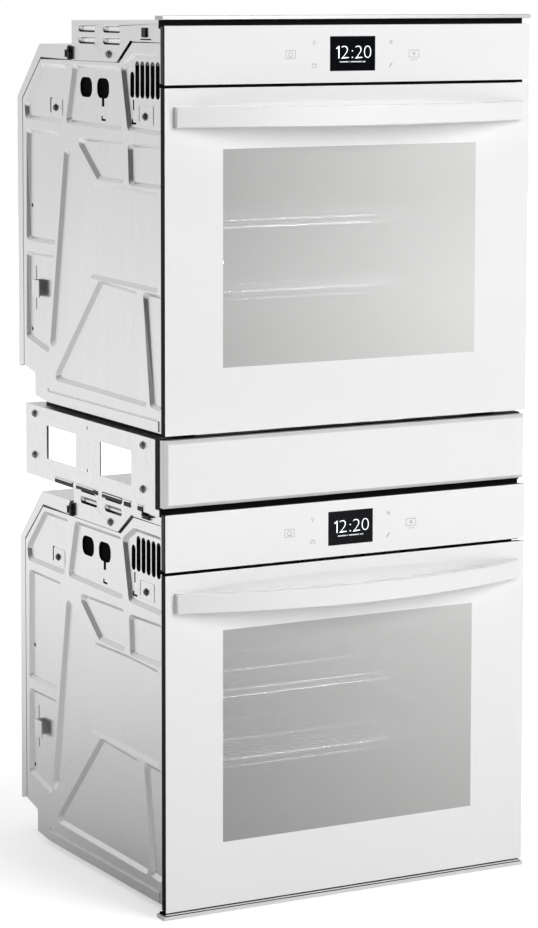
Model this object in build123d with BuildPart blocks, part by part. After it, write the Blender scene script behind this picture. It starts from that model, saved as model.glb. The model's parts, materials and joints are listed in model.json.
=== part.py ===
from build123d import *
import os

# Double built-in electric wall oven for a 600 mm wide cabinet: two equal ovens, one
# above the other, with a filler panel between them. Millimetres. X is to the right as
# seen by a person in front of it, Y runs back into the cabinet and Z is up. The origin
# is the middle of the lower oven's base, where it rests on the cabinet's floor.
# "Depth" is measured back from the outer face of the front glass, and "height" from the
# base of the oven that a piece belongs to.

# Driving dimensions
FRONT_Y = -260.0  # outer face of the front glass
FRONT_HALF = 297.5  # half of the 595 mm front
SIDE_HALF = 278.0  # outer face of the side panels
OVEN_PITCH = 677.0  # height from one oven's base to the next one's
SHEET = 1.2  # chassis sheet metal
GLASS = 4.0

DOOR_BOTTOM, DOOR_TOP = 4.0, 485.0
DOOR_BACK = 14.5  # depth of the door's outer part
PANEL_BOTTOM, PANEL_TOP = 489.4, 570.4  # control panel
FRAME_DEPTH, FRAME_T = 22.5, 1.5  # plate that the door closes against
FRAME_BACK = FRAME_DEPTH + FRAME_T
FRAME_HALF = 290.0

HINGE_DEPTH, HINGE_HEIGHT = 8.0, 16.0  # door pivot
HINGE_PIN_R = 2.0
HINGE_BORE_R = 2.05
HINGE_X = 254.0  # middle of each hinge arm

CAVITY_HALF = 222.0
CAVITY_FLOOR, CAVITY_ROOF = 74.0, 422.0
CAVITY_BACK = 450.0
CAVITY_WALL = 1.5
INSULATION = 18.5
FAN_HEIGHT = 245.0

RACK_LEVELS = {"rack_bottom": 191.0, "rack_top": 296.0}
RACK_HALF = 178.0
RACK_FRONT, RACK_BACK = 73.0, 402.0
RACK_FRAME_R = 3.0
RACK_WIRE_R = 1.6
RACK_PITCH = 19.0

HANDLE_HALF = 283.0
HANDLE_BOTTOM, HANDLE_TOP = 431.0, 459.5
HANDLE_REACH = 60.0

BLOWER_DEPTH, BLOWER_HEIGHT = 290.0, 545.0
BLOWER_R = 22.0
BLOWER_HALF = 105.0

BRACKET_X = 281.0  # inner face of the plates beside the filler panel
BRACKET_T = 1.5
BRACKET_BOTTOM, BRACKET_TOP = 560.0, 668.0
BRACKET_HOLES = ((282.0, 593.7), (282.0, 656.5))
BRACKET_SCREWS = ((99.6, 592.5), (99.6, 655.3), (467.3, 592.5), (467.3, 655.3))

REAR_DEPTH = 536.0

os.makedirs("parts", exist_ok=True)


# ---- placing helpers ----


def side_plane(x):
    """Plane across the oven at x, whose sketch axes are depth and height."""
    return Plane(origin=(x, FRONT_Y, 0), x_dir=(0, 1, 0), z_dir=(1, 0, 0))


def front_plane(depth):
    """Upright plane facing the front, whose sketch axes are X and height."""
    return Plane(origin=(0, FRONT_Y + depth, 0), x_dir=(1, 0, 0), z_dir=(0, -1, 0))


def block(x, depth, height, mode=Mode.ADD):
    """Box between two values each of X, depth and height."""
    centre = (sum(x) / 2, FRONT_Y + sum(depth) / 2, sum(height) / 2)
    with Locations(centre):
        Box(x[1] - x[0], depth[1] - depth[0], height[1] - height[0], mode=mode)


def rod_x(x, depth, height, radius, mode=Mode.ADD):
    """Round bar along X."""
    with Locations((sum(x) / 2, FRONT_Y + depth, height)):
        Cylinder(radius, x[1] - x[0], rotation=(0, 90, 0), mode=mode)


def rod_y(x, depth, height, radius, mode=Mode.ADD):
    """Round bar along the depth."""
    with Locations((x, FRONT_Y + sum(depth) / 2, height)):
        Cylinder(radius, depth[1] - depth[0], rotation=(90, 0, 0), mode=mode)


def rod_z(x, depth, height, radius, mode=Mode.ADD):
    """Round bar standing up."""
    with Locations((x, FRONT_Y + depth, sum(height) / 2)):
        Cylinder(radius, height[1] - height[0], mode=mode)


def bent_wire(points, bend, radius):
    """Round wire along straight runs joined by bends; points are X, depth, height."""
    with BuildLine(Plane.XY) as route:
        FilletPolyline([(x, FRONT_Y + depth, z) for x, depth, z in points], radius=bend)
    with BuildSketch(Plane(origin=route.line @ 0, z_dir=route.line % 0)) as section:
        Circle(radius)
    sweep(sections=section.sketch, path=route.line)


def inset_corners(points, inset):
    """Corners of a closed outline after each of its sides moves in by inset."""
    corners = [Vector(*point) for point in points]
    sides = [after - corner for corner, after in zip(corners, corners[1:] + corners[:1])]
    winding = sum(a.cross(b).Z for a, b in zip(corners, corners[1:] + corners[:1]))
    inward = 90 if winding > 0 else -90
    normals = [side.normalized().rotate(Axis.Z, inward) for side in sides]
    moved = []
    for index, corner in enumerate(corners):
        before, after = normals[index - 1], normals[index]
        moved.append(corner + (before + after) * (inset / (1 + before.dot(after))))
    return moved


def inset_face(plane, points, inset, radius):
    """Face inside a closed outline, moved in from it by inset, with rounded corners."""
    with BuildSketch(plane) as rounded:
        Polygon(*inset_corners(points, inset), align=None)
        fillet(rounded.vertices(), radius)
    return rounded.sketch


def write(piece, name):
    piece.label = name
    export_step(piece, f"parts/{name}.step")


def write_for_both(builder, name):
    """Write a piece made at the lower oven, and its twin on the upper oven."""
    write(builder.part, f"lower_{name}")
    write(builder.part.moved(Location((0, 0, OVEN_PITCH))), f"upper_{name}")


def both_ovens(builder):
    """The piece at the lower oven and its twin on the upper oven, as separate solids."""
    lower = list(builder.part.solids())
    upper = [solid.moved(Location((0, 0, OVEN_PITCH))) for solid in lower]
    return lower + upper


def write_group(solids, name):
    """Write several separate solids as one group."""
    write(Compound(children=list(solids)), name)


# ---- chassis side panels ----

# The panels are drawn in depth and height. Ribs stay at the outer face and the areas
# between them are stamped inwards.
SIDE_OUTLINE = (
    (FRAME_BACK, 0),
    (430, 0),
    (475, 5),
    (475, 39),
    (514, 48),
    (514, 454),
    (449, 514.5),
    (355, 515.5),
    (181, 515.5),
    (139, 545),
    (FRAME_BACK, 546),
)
RECESS = 5.0  # how far a recess is stamped in
RECESS_SLOPE = 6.0  # how far its sides lean
RECESSES = (
    ((445, 508.5), (356, 508.5), (374, 422), (504, 423), (508, 446)),
    ((335, 510.5), (179, 510.5), (174.5, 419), (361.5, 422)),
    ((139, 530.5), (176, 510), (155, 420), (50, 417.5), (50, 530)),
    ((501, 410.5), (384.5, 408.5), (401, 239.5), (503, 239.5)),
    ((403, 224.5), (423, 74), (505, 91), (503, 224.5)),
    ((332.5, 404.5), (171, 406), (168.5, 343.5), (253.5, 344.5)),
    ((155, 403), (50, 405), (50, 343), (151.5, 342)),
    ((365.5, 390), (271, 340), (168.5, 341), (60, 337.5), (60, 197), (279, 200), (423, 72)),
    ((250, 200), (127, 194), (94, 32), (412, 36)),
    ((108, 196), (50, 194.5), (50, 31), (86, 33.5)),
)
RECESS_ROUND = 8.0

KNOCKOUTS = ((301, 477.5), (244.5, 477.5))
PAD_SCREWS = ((404.5, 444), (107.5, 442))
ALIGNMENT_MARKS = ((243.2, 434), (144.5, 433))
VENT_FIRST, VENT_PITCH, VENT_COUNT = 53.5, 16.0, 6
VENT_LENGTH, VENT_WIDTH, VENT_MIDDLE = 52.0, 12.9, 493.0
SHORT_VENT_LENGTH = 37.0
CATCH_HEIGHT = (156.0, 182.0)


def stamp(outline):
    """Stamp one recess into the left side panel."""
    for face_x, inset, mode in (
        (-SIDE_HALF + SHEET, -0.8, Mode.ADD),
        (-SIDE_HALF, 0.0, Mode.SUBTRACT),
    ):
        mouth = inset_face(side_plane(face_x), outline, inset, RECESS_ROUND)
        floor_inset = inset + RECESS_SLOPE
        floor_plane = side_plane(face_x + RECESS)
        floor = inset_face(floor_plane, outline, floor_inset, RECESS_ROUND / 2)
        loft([mouth, floor], ruled=True, mode=mode)


with BuildPart() as left_side_panel:
    with BuildSketch(side_plane(-SIDE_HALF)):
        Polygon(*SIDE_OUTLINE, align=None)
    extrude(amount=SHEET)
    for recess_outline in RECESSES:
        stamp(recess_outline)
    # Crease along the foot of the panel
    block((-SIDE_HALF, -SIDE_HALF + 0.9), (62, 430), (18, 21), Mode.SUBTRACT)
    # Knockouts for the supply cable, the second one with a keyhole stem
    cutter_plane = side_plane(-SIDE_HALF - 1)
    with BuildSketch(cutter_plane):
        with Locations(*KNOCKOUTS):
            RectangleRounded(40, 29, 12)
        with Locations((244.5, 458)):
            Rectangle(8, 14)
        with Locations((145.5, 457)):
            Rectangle(4, 15)
        with Locations((492, 293), (494, 105)):
            Circle(3)
        with Locations((479, sum(CATCH_HEIGHT) / 2)):
            Rectangle(2.5, 66)
        # L-shaped alignment marks
        for mark_depth, mark_height in ALIGNMENT_MARKS:
            with Locations((mark_depth, mark_height - 2)):
                Rectangle(14, 3)
            with Locations((mark_depth + 4.8, mark_height)):
                Rectangle(4.4, 7)
        # Screw holes, each with a hooked slot behind it that lets its pad flex
        for screw_depth, screw_height in PAD_SCREWS:
            with Locations((screw_depth, screw_height)):
                Circle(2.2)
            with Locations((screw_depth + 19, screw_height + 3)):
                Rectangle(4, 22)
            with Locations((screw_depth + 14, screw_height - 7)):
                Rectangle(10, 2.4)
            with Locations((screw_depth + 16, screw_height + 13)):
                Rectangle(5, 2.4)
        # Cooling slots, the last one shorter
        for index in range(VENT_COUNT):
            with Locations((VENT_FIRST + VENT_PITCH * index, VENT_MIDDLE)):
                SlotOverall(VENT_LENGTH, VENT_WIDTH, rotation=90)
        short_middle = VENT_MIDDLE - (VENT_LENGTH - SHORT_VENT_LENGTH) / 2
        with Locations((VENT_FIRST + VENT_PITCH * VENT_COUNT, short_middle)):
            SlotOverall(SHORT_VENT_LENGTH, VENT_WIDTH, rotation=90)
    extrude(amount=RECESS + 3, mode=Mode.SUBTRACT)
    # Small catch bent out of the rear strip
    block((-SIDE_HALF - 4.5, -SIDE_HALF + RECESS + 0.5), (472.5, 474), CATCH_HEIGHT)
    block((-SIDE_HALF - 4.5, -SIDE_HALF - 3), (450, 474), CATCH_HEIGHT)

with BuildPart() as right_side_panel:
    add(left_side_panel.part)
    mirror(about=Plane.YZ, mode=Mode.REPLACE)

write_for_both(left_side_panel, "left_side_panel")
write_for_both(right_side_panel, "right_side_panel")

# ---- rear panel, base and top duct ----

REAR_OUTLINE = (
    (355.5, 516.5),
    (355.5, 537.5),
    (454.6, 537.5),
    (REAR_DEPTH, 456),
    (REAR_DEPTH, 43.3),
    (518, 49.5),
    (518, 455.5),
    (450.5, 518),
)
REAR_INNER = (
    (350, 500),
    (350, 537.5 - SHEET),
    (454.1, 537.5 - SHEET),
    (REAR_DEPTH - SHEET, 455.5),
    (REAR_DEPTH - SHEET, 40),
    (500, 40),
    (500, 455),
    (440, 500),
)

with BuildPart() as rear_panel:
    with BuildSketch(side_plane(-SIDE_HALF + 1)):
        Polygon(*REAR_OUTLINE, align=None)
    extrude(amount=2 * SIDE_HALF - 2)
    with BuildSketch(side_plane(-SIDE_HALF + 1 + SHEET)):
        Polygon(*REAR_INNER, align=None)
    extrude(amount=2 * (SIDE_HALF - 1 - SHEET), mode=Mode.SUBTRACT)
    # Vent slots across the back
    with BuildSketch(front_plane(REAR_DEPTH + 1)):
        for row_height in (110, 150, 190, 330, 370, 410):
            with GridLocations(60, 1, 7, 1):
                with Locations((0, row_height)):
                    SlotOverall(40, 8)
    extrude(amount=4, mode=Mode.SUBTRACT)

write_for_both(rear_panel, "rear_panel")

BASE_HALF = SIDE_HALF - RECESS - SHEET - 0.3

with BuildPart() as base_panel:
    with BuildSketch(side_plane(-BASE_HALF)):
        with BuildLine():
            Polyline(
                (FRAME_BACK, 0),
                (430, 0),
                (475, 5),
                (475, 39),
                (517, 49),
                (517, 49 + SHEET),
                (475 - SHEET, 39 + SHEET),
                (475 - SHEET, 5 + SHEET),
                (430, SHEET),
                (FRAME_BACK, SHEET),
                close=True,
            )
        make_face()
    extrude(amount=2 * BASE_HALF)
    # Pressed stiffening beads
    for bead_x in (-170, 0, 170):
        block((bead_x - 15, bead_x + 15), (90, 400), (SHEET, SHEET + 3))

write_group(both_ovens(base_panel), "base_panels")

DUCT_TOP = 574.0
DUCT_BACK = 340.0
DUCT_OUTLINE = (
    (FRAME_BACK, DUCT_TOP),
    (FRAME_BACK, 546.5),
    (138.5, 546.5),
    (146, 548),
    (188, 518),
    (191, 516),
    (DUCT_BACK, 516),
    (DUCT_BACK, DUCT_TOP),
)
DUCT_SCREW = (215, 527)
LOUVRE_LENGTH, LOUVRE_HEIGHT = 56.0, 10.5
DUCT_LOUVRES = ((288, 563), (206, 563), (288, 546), (206, 546))

with BuildPart() as top_duct:
    with BuildSketch(side_plane(-SIDE_HALF)):
        Polygon(*DUCT_OUTLINE, align=None)
    extrude(amount=2 * SIDE_HALF)
    # Hollow, open to the front and underneath
    with BuildSketch(side_plane(-SIDE_HALF + SHEET)):
        with BuildLine():
            Polyline(
                (FRAME_BACK - 1, DUCT_TOP - SHEET),
                (FRAME_BACK - 1, 500),
                (DUCT_BACK - SHEET, 500),
                (DUCT_BACK - SHEET, DUCT_TOP - SHEET),
                close=True,
            )
        make_face()
    extrude(amount=2 * (SIDE_HALF - SHEET), mode=Mode.SUBTRACT)
    # Louvres through both sides
    with BuildSketch(side_plane(-SIDE_HALF - 1)):
        with Locations(*DUCT_LOUVRES):
            SlotOverall(LOUVRE_LENGTH, LOUVRE_HEIGHT)
    extrude(amount=2 * SIDE_HALF + 2, mode=Mode.SUBTRACT)

write_for_both(top_duct, "top_duct")

# ---- front frame, gasket and cavity ----

SWITCH_X, SWITCH_HEIGHT, SWITCH_R = 240.0, 470.0, 3.5

with BuildPart() as front_frame:
    with BuildSketch(front_plane(FRAME_BACK)):
        with Locations((0, 287)):
            RectangleRounded(2 * FRAME_HALF, 570, 3)
        with Locations((0, (CAVITY_FLOOR + CAVITY_ROOF) / 2)):
            RectangleRounded(2 * CAVITY_HALF, CAVITY_ROOF - CAVITY_FLOOR, 12, mode=Mode.SUBTRACT)
        with Locations((0, 532)):
            Rectangle(240, 56, mode=Mode.SUBTRACT)
        with Locations((-HINGE_X, 17), (HINGE_X, 17)):
            Rectangle(9, 16, mode=Mode.SUBTRACT)
        with Locations((SWITCH_X, SWITCH_HEIGHT)):
            Circle(SWITCH_R + 0.4, mode=Mode.SUBTRACT)
        # Row of slots where the cooling air leaves above the door
        with Locations((0, 483)):
            with GridLocations(34, 1, 12, 1):
                SlotOverall(26, 6, mode=Mode.SUBTRACT)
        # Screw holes into the cabinet's sides
        with Locations((0, 245)):
            with GridLocations(568, 370, 2, 2):
                Circle(2.25, mode=Mode.SUBTRACT)
    extrude(amount=FRAME_T)

write_for_both(front_frame, "front_frame")

GASKET_IN, GASKET_W = 4.0, 10.0

with BuildPart() as door_gasket:
    with BuildSketch(front_plane(FRAME_DEPTH)):
        middle = (CAVITY_FLOOR + CAVITY_ROOF) / 2
        with Locations((0, middle)):
            RectangleRounded(
                2 * (CAVITY_HALF + GASKET_IN + GASKET_W),
                CAVITY_ROOF - CAVITY_FLOOR + 2 * (GASKET_IN + GASKET_W),
                26,
            )
            RectangleRounded(
                2 * (CAVITY_HALF + GASKET_IN),
                CAVITY_ROOF - CAVITY_FLOOR + 2 * GASKET_IN,
                16,
                mode=Mode.SUBTRACT,
            )
    extrude(amount=FRAME_DEPTH - DOOR_BACK - 0.5)
    fillet(door_gasket.faces().sort_by(Axis.Y)[0].edges(), 3)

write_for_both(door_gasket, "door_gasket")

LAMP = (185.0, 385.0)
PROBE = (-185.0, 385.0)
RING_R = 98.0
RING_LEG_X = 14.0
BROIL_HEIGHT = 404.0
BROIL_LEG_X = 60.0
LEG_HOLE = 5.0

with BuildPart() as cavity:
    block(
        (-CAVITY_HALF - CAVITY_WALL, CAVITY_HALF + CAVITY_WALL),
        (FRAME_BACK, CAVITY_BACK + CAVITY_WALL),
        (CAVITY_FLOOR - CAVITY_WALL, CAVITY_ROOF + CAVITY_WALL),
    )
    with BuildSketch(front_plane(CAVITY_BACK)):
        with Locations((0, (CAVITY_FLOOR + CAVITY_ROOF) / 2)):
            RectangleRounded(2 * CAVITY_HALF, CAVITY_ROOF - CAVITY_FLOOR, 12)
    extrude(amount=CAVITY_BACK - FRAME_BACK, mode=Mode.SUBTRACT)
    # Holes through the back wall
    back_wall = (CAVITY_BACK - 1, CAVITY_BACK + 3)
    rod_y(0, back_wall, FAN_HEIGHT, 8, Mode.SUBTRACT)
    rod_y(LAMP[0], back_wall, LAMP[1], 15.5, Mode.SUBTRACT)
    rod_y(PROBE[0], back_wall, PROBE[1], 4, Mode.SUBTRACT)
    for leg_x in (-1, 1):
        rod_y(leg_x * RING_LEG_X, back_wall, FAN_HEIGHT - RING_R, LEG_HOLE, Mode.SUBTRACT)
        rod_y(leg_x * BROIL_LEG_X, back_wall, BROIL_HEIGHT, LEG_HOLE, Mode.SUBTRACT)

write_for_both(cavity, "cavity")

with BuildPart() as insulation:
    wool = CAVITY_WALL + INSULATION
    block(
        (-CAVITY_HALF - wool, CAVITY_HALF + wool),
        (FRAME_BACK + 2, CAVITY_BACK + wool),
        (CAVITY_FLOOR - wool, CAVITY_ROOF + wool),
    )
    block(
        (-CAVITY_HALF - CAVITY_WALL, CAVITY_HALF + CAVITY_WALL),
        (FRAME_BACK, CAVITY_BACK + CAVITY_WALL),
        (CAVITY_FLOOR - CAVITY_WALL, CAVITY_ROOF + CAVITY_WALL),
        Mode.SUBTRACT,
    )
    # Openings at the back for the fan motor and for the lamp, probe and element ends
    wool_back = (CAVITY_BACK, CAVITY_BACK + wool + 1)
    block((-60, 60), wool_back, (130, 300), Mode.SUBTRACT)
    block((-210, 210), wool_back, (362, 418), Mode.SUBTRACT)

write_group(both_ovens(insulation), "insulation")

# ---- control panel ----

DISPLAY_HALF = 37.0
DISPLAY_BOTTOM, DISPLAY_TOP = 505.5, 554.5
PANEL_MIDDLE = (PANEL_BOTTOM + PANEL_TOP) / 2

with BuildPart() as control_glass:
    with BuildSketch(front_plane(GLASS)):
        with Locations((0, PANEL_MIDDLE)):
            RectangleRounded(2 * FRONT_HALF, PANEL_TOP - PANEL_BOTTOM, 2)
        with Locations((0, (DISPLAY_BOTTOM + DISPLAY_TOP) / 2)):
            Rectangle(2 * DISPLAY_HALF, DISPLAY_TOP - DISPLAY_BOTTOM, mode=Mode.SUBTRACT)
    extrude(amount=GLASS)
    chamfer(control_glass.faces().sort_by(Axis.Y)[0].outer_wire().edges(), 0.6)

write_for_both(control_glass, "control_glass")

with BuildPart() as display:
    block((-DISPLAY_HALF, DISPLAY_HALF), (0.1, DOOR_BACK), (DISPLAY_BOTTOM, DISPLAY_TOP))

write_for_both(display, "display")

with BuildPart() as control_box:
    box_half = FRONT_HALF - 1
    block((-box_half, box_half), (GLASS, DOOR_BACK), (PANEL_BOTTOM + 1, PANEL_TOP - 1))
    block(
        (-box_half + 1.5, box_half - 1.5),
        (GLASS, DOOR_BACK - 1.5),
        (PANEL_BOTTOM + 2.5, PANEL_TOP - 2.5),
        Mode.SUBTRACT,
    )
    block(
        (-DISPLAY_HALF, DISPLAY_HALF),
        (GLASS, DOOR_BACK),
        (DISPLAY_BOTTOM, DISPLAY_TOP),
        Mode.SUBTRACT,
    )
    # Posts that hold the panel off the front frame
    for post_x in (-270, -150, 150, 270):
        for post_height in (500, 560):
            rod_y(post_x, (DOOR_BACK - 1.5, FRAME_DEPTH), post_height, 5)

write_group(both_ovens(control_box), "control_boxes")

with BuildPart() as control_board:
    board_back = DOOR_BACK + 1.6
    block((-95, 95), (DOOR_BACK, board_back), (507, 557))
    for relay_x in (-75, -50, -25):
        block((relay_x - 9, relay_x + 9), (board_back, board_back + 12), (515, 535))
    for capacitor_x in (10, 26, 42):
        rod_y(capacitor_x, (board_back, board_back + 14), 525, 6)
    block((60, 88), (board_back, board_back + 9), (512, 522))
    block((-80, 80), (board_back, board_back + 2), (540, 546))

write_group(both_ovens(control_board), "control_boards")

# ---- door ----

PLUG_HALF = 212.0
PLUG_BOTTOM, PLUG_TOP = 86.0, 410.0
PLUG_BACK = 36.0
BODY_HALF = FRONT_HALF - 1

with BuildPart() as door_glass:
    with BuildSketch(front_plane(GLASS)):
        with Locations((0, (DOOR_BOTTOM + DOOR_TOP) / 2)):
            RectangleRounded(2 * FRONT_HALF, DOOR_TOP - DOOR_BOTTOM, 2)
    extrude(amount=GLASS)
    chamfer(door_glass.faces().sort_by(Axis.Y)[0].edges(), 0.6)

write_for_both(door_glass, "door_glass")

with BuildPart() as door_body:
    # Shallow tray behind the glass
    block((-BODY_HALF, BODY_HALF), (GLASS, DOOR_BACK), (DOOR_BOTTOM + 1.2, DOOR_TOP - 1.2))
    block(
        (-BODY_HALF + 1.5, BODY_HALF - 1.5),
        (GLASS, DOOR_BACK - 1.5),
        (DOOR_BOTTOM + 2.7, DOOR_TOP - 2.7),
        Mode.SUBTRACT,
    )
    # Ring that enters the cavity and carries the inner panes
    with BuildSketch(front_plane(PLUG_BACK)):
        with Locations((0, (PLUG_BOTTOM + PLUG_TOP) / 2)):
            RectangleRounded(2 * PLUG_HALF, PLUG_TOP - PLUG_BOTTOM, 8)
    extrude(amount=PLUG_BACK - DOOR_BACK)
    block(
        (-PLUG_HALF + 1.5, PLUG_HALF - 1.5),
        (DOOR_BACK, PLUG_BACK - 1.5),
        (PLUG_BOTTOM + 1.5, PLUG_TOP - 1.5),
        Mode.SUBTRACT,
    )
    block(
        (-PLUG_HALF + 7, PLUG_HALF - 7),
        (GLASS, PLUG_BACK),
        (PLUG_BOTTOM + 7, PLUG_TOP - 7),
        Mode.SUBTRACT,
    )
    # Corner blocks between the middle and the inner pane
    for side in (-1, 1):
        for corner_height in (PLUG_BOTTOM + 6, PLUG_TOP - 6):
            corner_x = side * (PLUG_HALF - 4)
            block(
                (corner_x - 3, corner_x + 3),
                (DOOR_BACK + GLASS, PLUG_BACK - 1.5 - GLASS),
                (corner_height - 5, corner_height + 5),
            )
        # Notch in which the fixed hinge arm stands
        block(
            (side * HINGE_X - 3.7, side * HINGE_X + 3.7),
            (GLASS, DOOR_BACK),
            (DOOR_BOTTOM, HINGE_HEIGHT + 8.5),
            Mode.SUBTRACT,
        )
    # Air slots along the bottom and top edges
    for edge_height in (DOOR_BOTTOM + 1.2, DOOR_TOP - 2.7):
        for index in range(-5, 6):
            block(
                (index * 40 - 14, index * 40 + 14),
                (7, 11),
                (edge_height, edge_height + 1.5),
                Mode.SUBTRACT,
            )

write_for_both(door_body, "door_body")

PANE_HALF = PLUG_HALF - 1.8

with BuildPart() as door_inner_glass:
    for pane_front in (DOOR_BACK, PLUG_BACK - 1.5 - GLASS):
        block(
            (-PANE_HALF, PANE_HALF),
            (pane_front, pane_front + GLASS),
            (PLUG_BOTTOM + 1.8, PLUG_TOP - 1.8),
        )

write_for_both(door_inner_glass, "door_inner_glass")

HANDLE_END = 10.0  # thickness of the handle's ends
HANDLE_PAD = 25.0  # length that touches the glass at each end
HANDLE_CORE = 16.0  # thickness in the middle

with BuildPart() as door_handle:
    with BuildSketch(Plane(origin=(0, FRONT_Y, HANDLE_BOTTOM))):
        with BuildLine():
            pad = HANDLE_HALF - HANDLE_PAD
            Line((-HANDLE_HALF, 0), (-HANDLE_HALF, -HANDLE_END))
            ThreePointArc(
                (-HANDLE_HALF, -HANDLE_END), (0, -HANDLE_REACH), (HANDLE_HALF, -HANDLE_END)
            )
            Line((HANDLE_HALF, -HANDLE_END), (HANDLE_HALF, 0))
            Line((HANDLE_HALF, 0), (pad, 0))
            ThreePointArc((pad, 0), (0, HANDLE_CORE - HANDLE_REACH), (-pad, 0))
            Line((-pad, 0), (-HANDLE_HALF, 0))
        make_face()
    extrude(amount=HANDLE_TOP - HANDLE_BOTTOM)
    long_edges = door_handle.edges().filter_by(GeomType.CIRCLE)
    fillet(long_edges, 2)

write_for_both(door_handle, "door_handle")

with BuildPart() as door_hinges:
    for side in (-1, 1):
        for cheek_x in (side * HINGE_X - 5.15, side * HINGE_X + 5.15):
            block(
                (cheek_x - 1.25, cheek_x + 1.25),
                (GLASS, DOOR_BACK - 1.5),
                (DOOR_BOTTOM + 2.7, 46),
            )
        pin_x = (side * HINGE_X - 6.4, side * HINGE_X + 6.4)
        rod_x(pin_x, HINGE_DEPTH, HINGE_HEIGHT, HINGE_PIN_R)

write_for_both(door_hinges, "door_hinges")

with BuildPart() as hinge_receivers:
    for side in (-1, 1):
        middle_x = side * HINGE_X
        # Channel that holds the balance spring
        block((middle_x - 8, middle_x + 8), (FRAME_BACK, 210), (8, 34))
        block((middle_x - 6.5, middle_x + 6.5), (FRAME_BACK + 1.5, 208.5), (9.5, 32.5), Mode.SUBTRACT)
        # Arm with the pivot's eye
        with BuildSketch(side_plane(middle_x - 2)):
            with Locations((HINGE_DEPTH, HINGE_HEIGHT)):
                Circle(3.3)
            with Locations(((HINGE_DEPTH + 90) / 2, (12.7 + 19.3) / 2)):
                Rectangle(90 - HINGE_DEPTH, 6.6)
            with Locations((57, 17.5)):
                Rectangle(66, 9.6)
            with Locations((HINGE_DEPTH, HINGE_HEIGHT)):
                Circle(HINGE_BORE_R, mode=Mode.SUBTRACT)
        extrude(amount=4)

write_group(both_ovens(hinge_receivers), "hinge_receivers")

with BuildPart() as switch_plunger:
    rod_y(SWITCH_X, (DOOR_BACK + 0.5, 52), SWITCH_HEIGHT, SWITCH_R)
    fillet(switch_plunger.faces().sort_by(Axis.Y)[0].edges(), 1.5)
    rod_y(SWITCH_X, (34, 38), SWITCH_HEIGHT, 6)

write_for_both(switch_plunger, "switch_plunger")

# ---- racks and their side ladders ----


def rack(level):
    """Chromed wire rack whose frame lies at this height."""
    with BuildPart() as wires:
        bend = 14
        half = RACK_HALF
        with BuildSketch(Plane.XY.offset(level), mode=Mode.PRIVATE) as frame_shape:
            with Locations((0, FRONT_Y + (RACK_FRONT + RACK_BACK) / 2)):
                RectangleRounded(2 * half, RACK_BACK - RACK_FRONT, bend)
        route = frame_shape.sketch.face().outer_wire()
        with BuildSketch(Plane(origin=route @ 0, z_dir=route % 0), mode=Mode.PRIVATE) as section:
            Circle(RACK_FRAME_R)
        sweep(sections=section.sketch, path=route)
        # Second rail under the front one
        rod_x((-half + 8, half - 8), RACK_FRONT, level - 10.5, 2.4)
        # Cross bars under the wires
        for bar_depth in (180, 295):
            rod_x((-half, half), bar_depth, level, 2.4)
        # Wires, each turned down at the front to meet the second rail
        count = int((2 * half - 20) // RACK_PITCH)
        wire_height = level + RACK_FRAME_R
        for index in range(count + 1):
            wire_x = (index - count / 2) * RACK_PITCH
            rod_y(wire_x, (RACK_FRONT - 2.5, RACK_BACK), wire_height, RACK_WIRE_R)
            rod_z(wire_x, RACK_FRONT - 2.5, (level - 11.5, wire_height + 1), RACK_WIRE_R)
    return wires


lower_rack_shape = rack(RACK_LEVELS["rack_bottom"])
rack_rise = RACK_LEVELS["rack_top"] - RACK_LEVELS["rack_bottom"]
write_for_both(lower_rack_shape, "rack_bottom")
with BuildPart() as rack_top:
    add(lower_rack_shape.part.moved(Location((0, 0, rack_rise))))
write_for_both(rack_top, "rack_top")

LADDER_LEVELS = 5
LADDER_PITCH = (RACK_LEVELS["rack_top"] - RACK_LEVELS["rack_bottom"]) / 2

with BuildPart() as rack_guides:
    for side in (-1, 1):
        post_x = side * 206
        rail_x = side * 180
        for post_depth in (48, 408):
            rod_z(post_x, post_depth, (110, 350), 3)
        # Pins into the cavity wall
        for post_depth in (48, 408):
            for pin_height in (116, 344):
                pin_x = sorted((post_x, side * CAVITY_HALF))
                rod_x(pin_x, post_depth, pin_height, 3)
        for index in range(LADDER_LEVELS):
            shelf = RACK_LEVELS["rack_bottom"] - 6.6 + (index - 1) * LADDER_PITCH
            bent_wire(
                [
                    (post_x, 48, shelf),
                    (rail_x, 48, shelf),
                    (rail_x, 408, shelf),
                    (post_x, 408, shelf),
                ],
                10,
                3,
            )

write_group(both_ovens(rack_guides), "rack_guides")

# ---- convection fan, elements, lamp and probe ----

FAN_DEPTH = 430.0

with BuildPart() as fan_blade:
    rod_y(0, (422, 440), FAN_HEIGHT, 14)
    rod_y(0, (438, 459), FAN_HEIGHT, 4)
    rod_y(0, (438.5, 440), FAN_HEIGHT, 60)
    with BuildSketch(front_plane(440)):
        with Locations((0, FAN_HEIGHT)):
            with PolarLocations(44, 8):
                Rectangle(66, 1.6)
    extrude(amount=16)

write_for_both(fan_blade, "fan_blade")

with BuildPart() as fan_cover:
    cover_half = 140
    block((-cover_half, cover_half), (414, CAVITY_BACK), (120, 370))
    fillet(fan_cover.faces().sort_by(Axis.Y)[0].edges(), 3)
    block((-cover_half + 1.2, cover_half - 1.2), (415.2, CAVITY_BACK), (121.2, 368.8), Mode.SUBTRACT)
    # Intake holes in rings, and outlet slots along the sides
    with BuildSketch(front_plane(420)):
        with Locations((0, FAN_HEIGHT)):
            Circle(4)
            for ring in range(1, 6):
                with PolarLocations(13 * ring, 6 * ring):
                    Circle(4)
        with Locations((-118, FAN_HEIGHT), (118, FAN_HEIGHT)):
            with GridLocations(1, 22, 1, 10):
                SlotOverall(26, 7)
    extrude(amount=20, mode=Mode.SUBTRACT)

write_for_both(fan_cover, "fan_cover")

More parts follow.
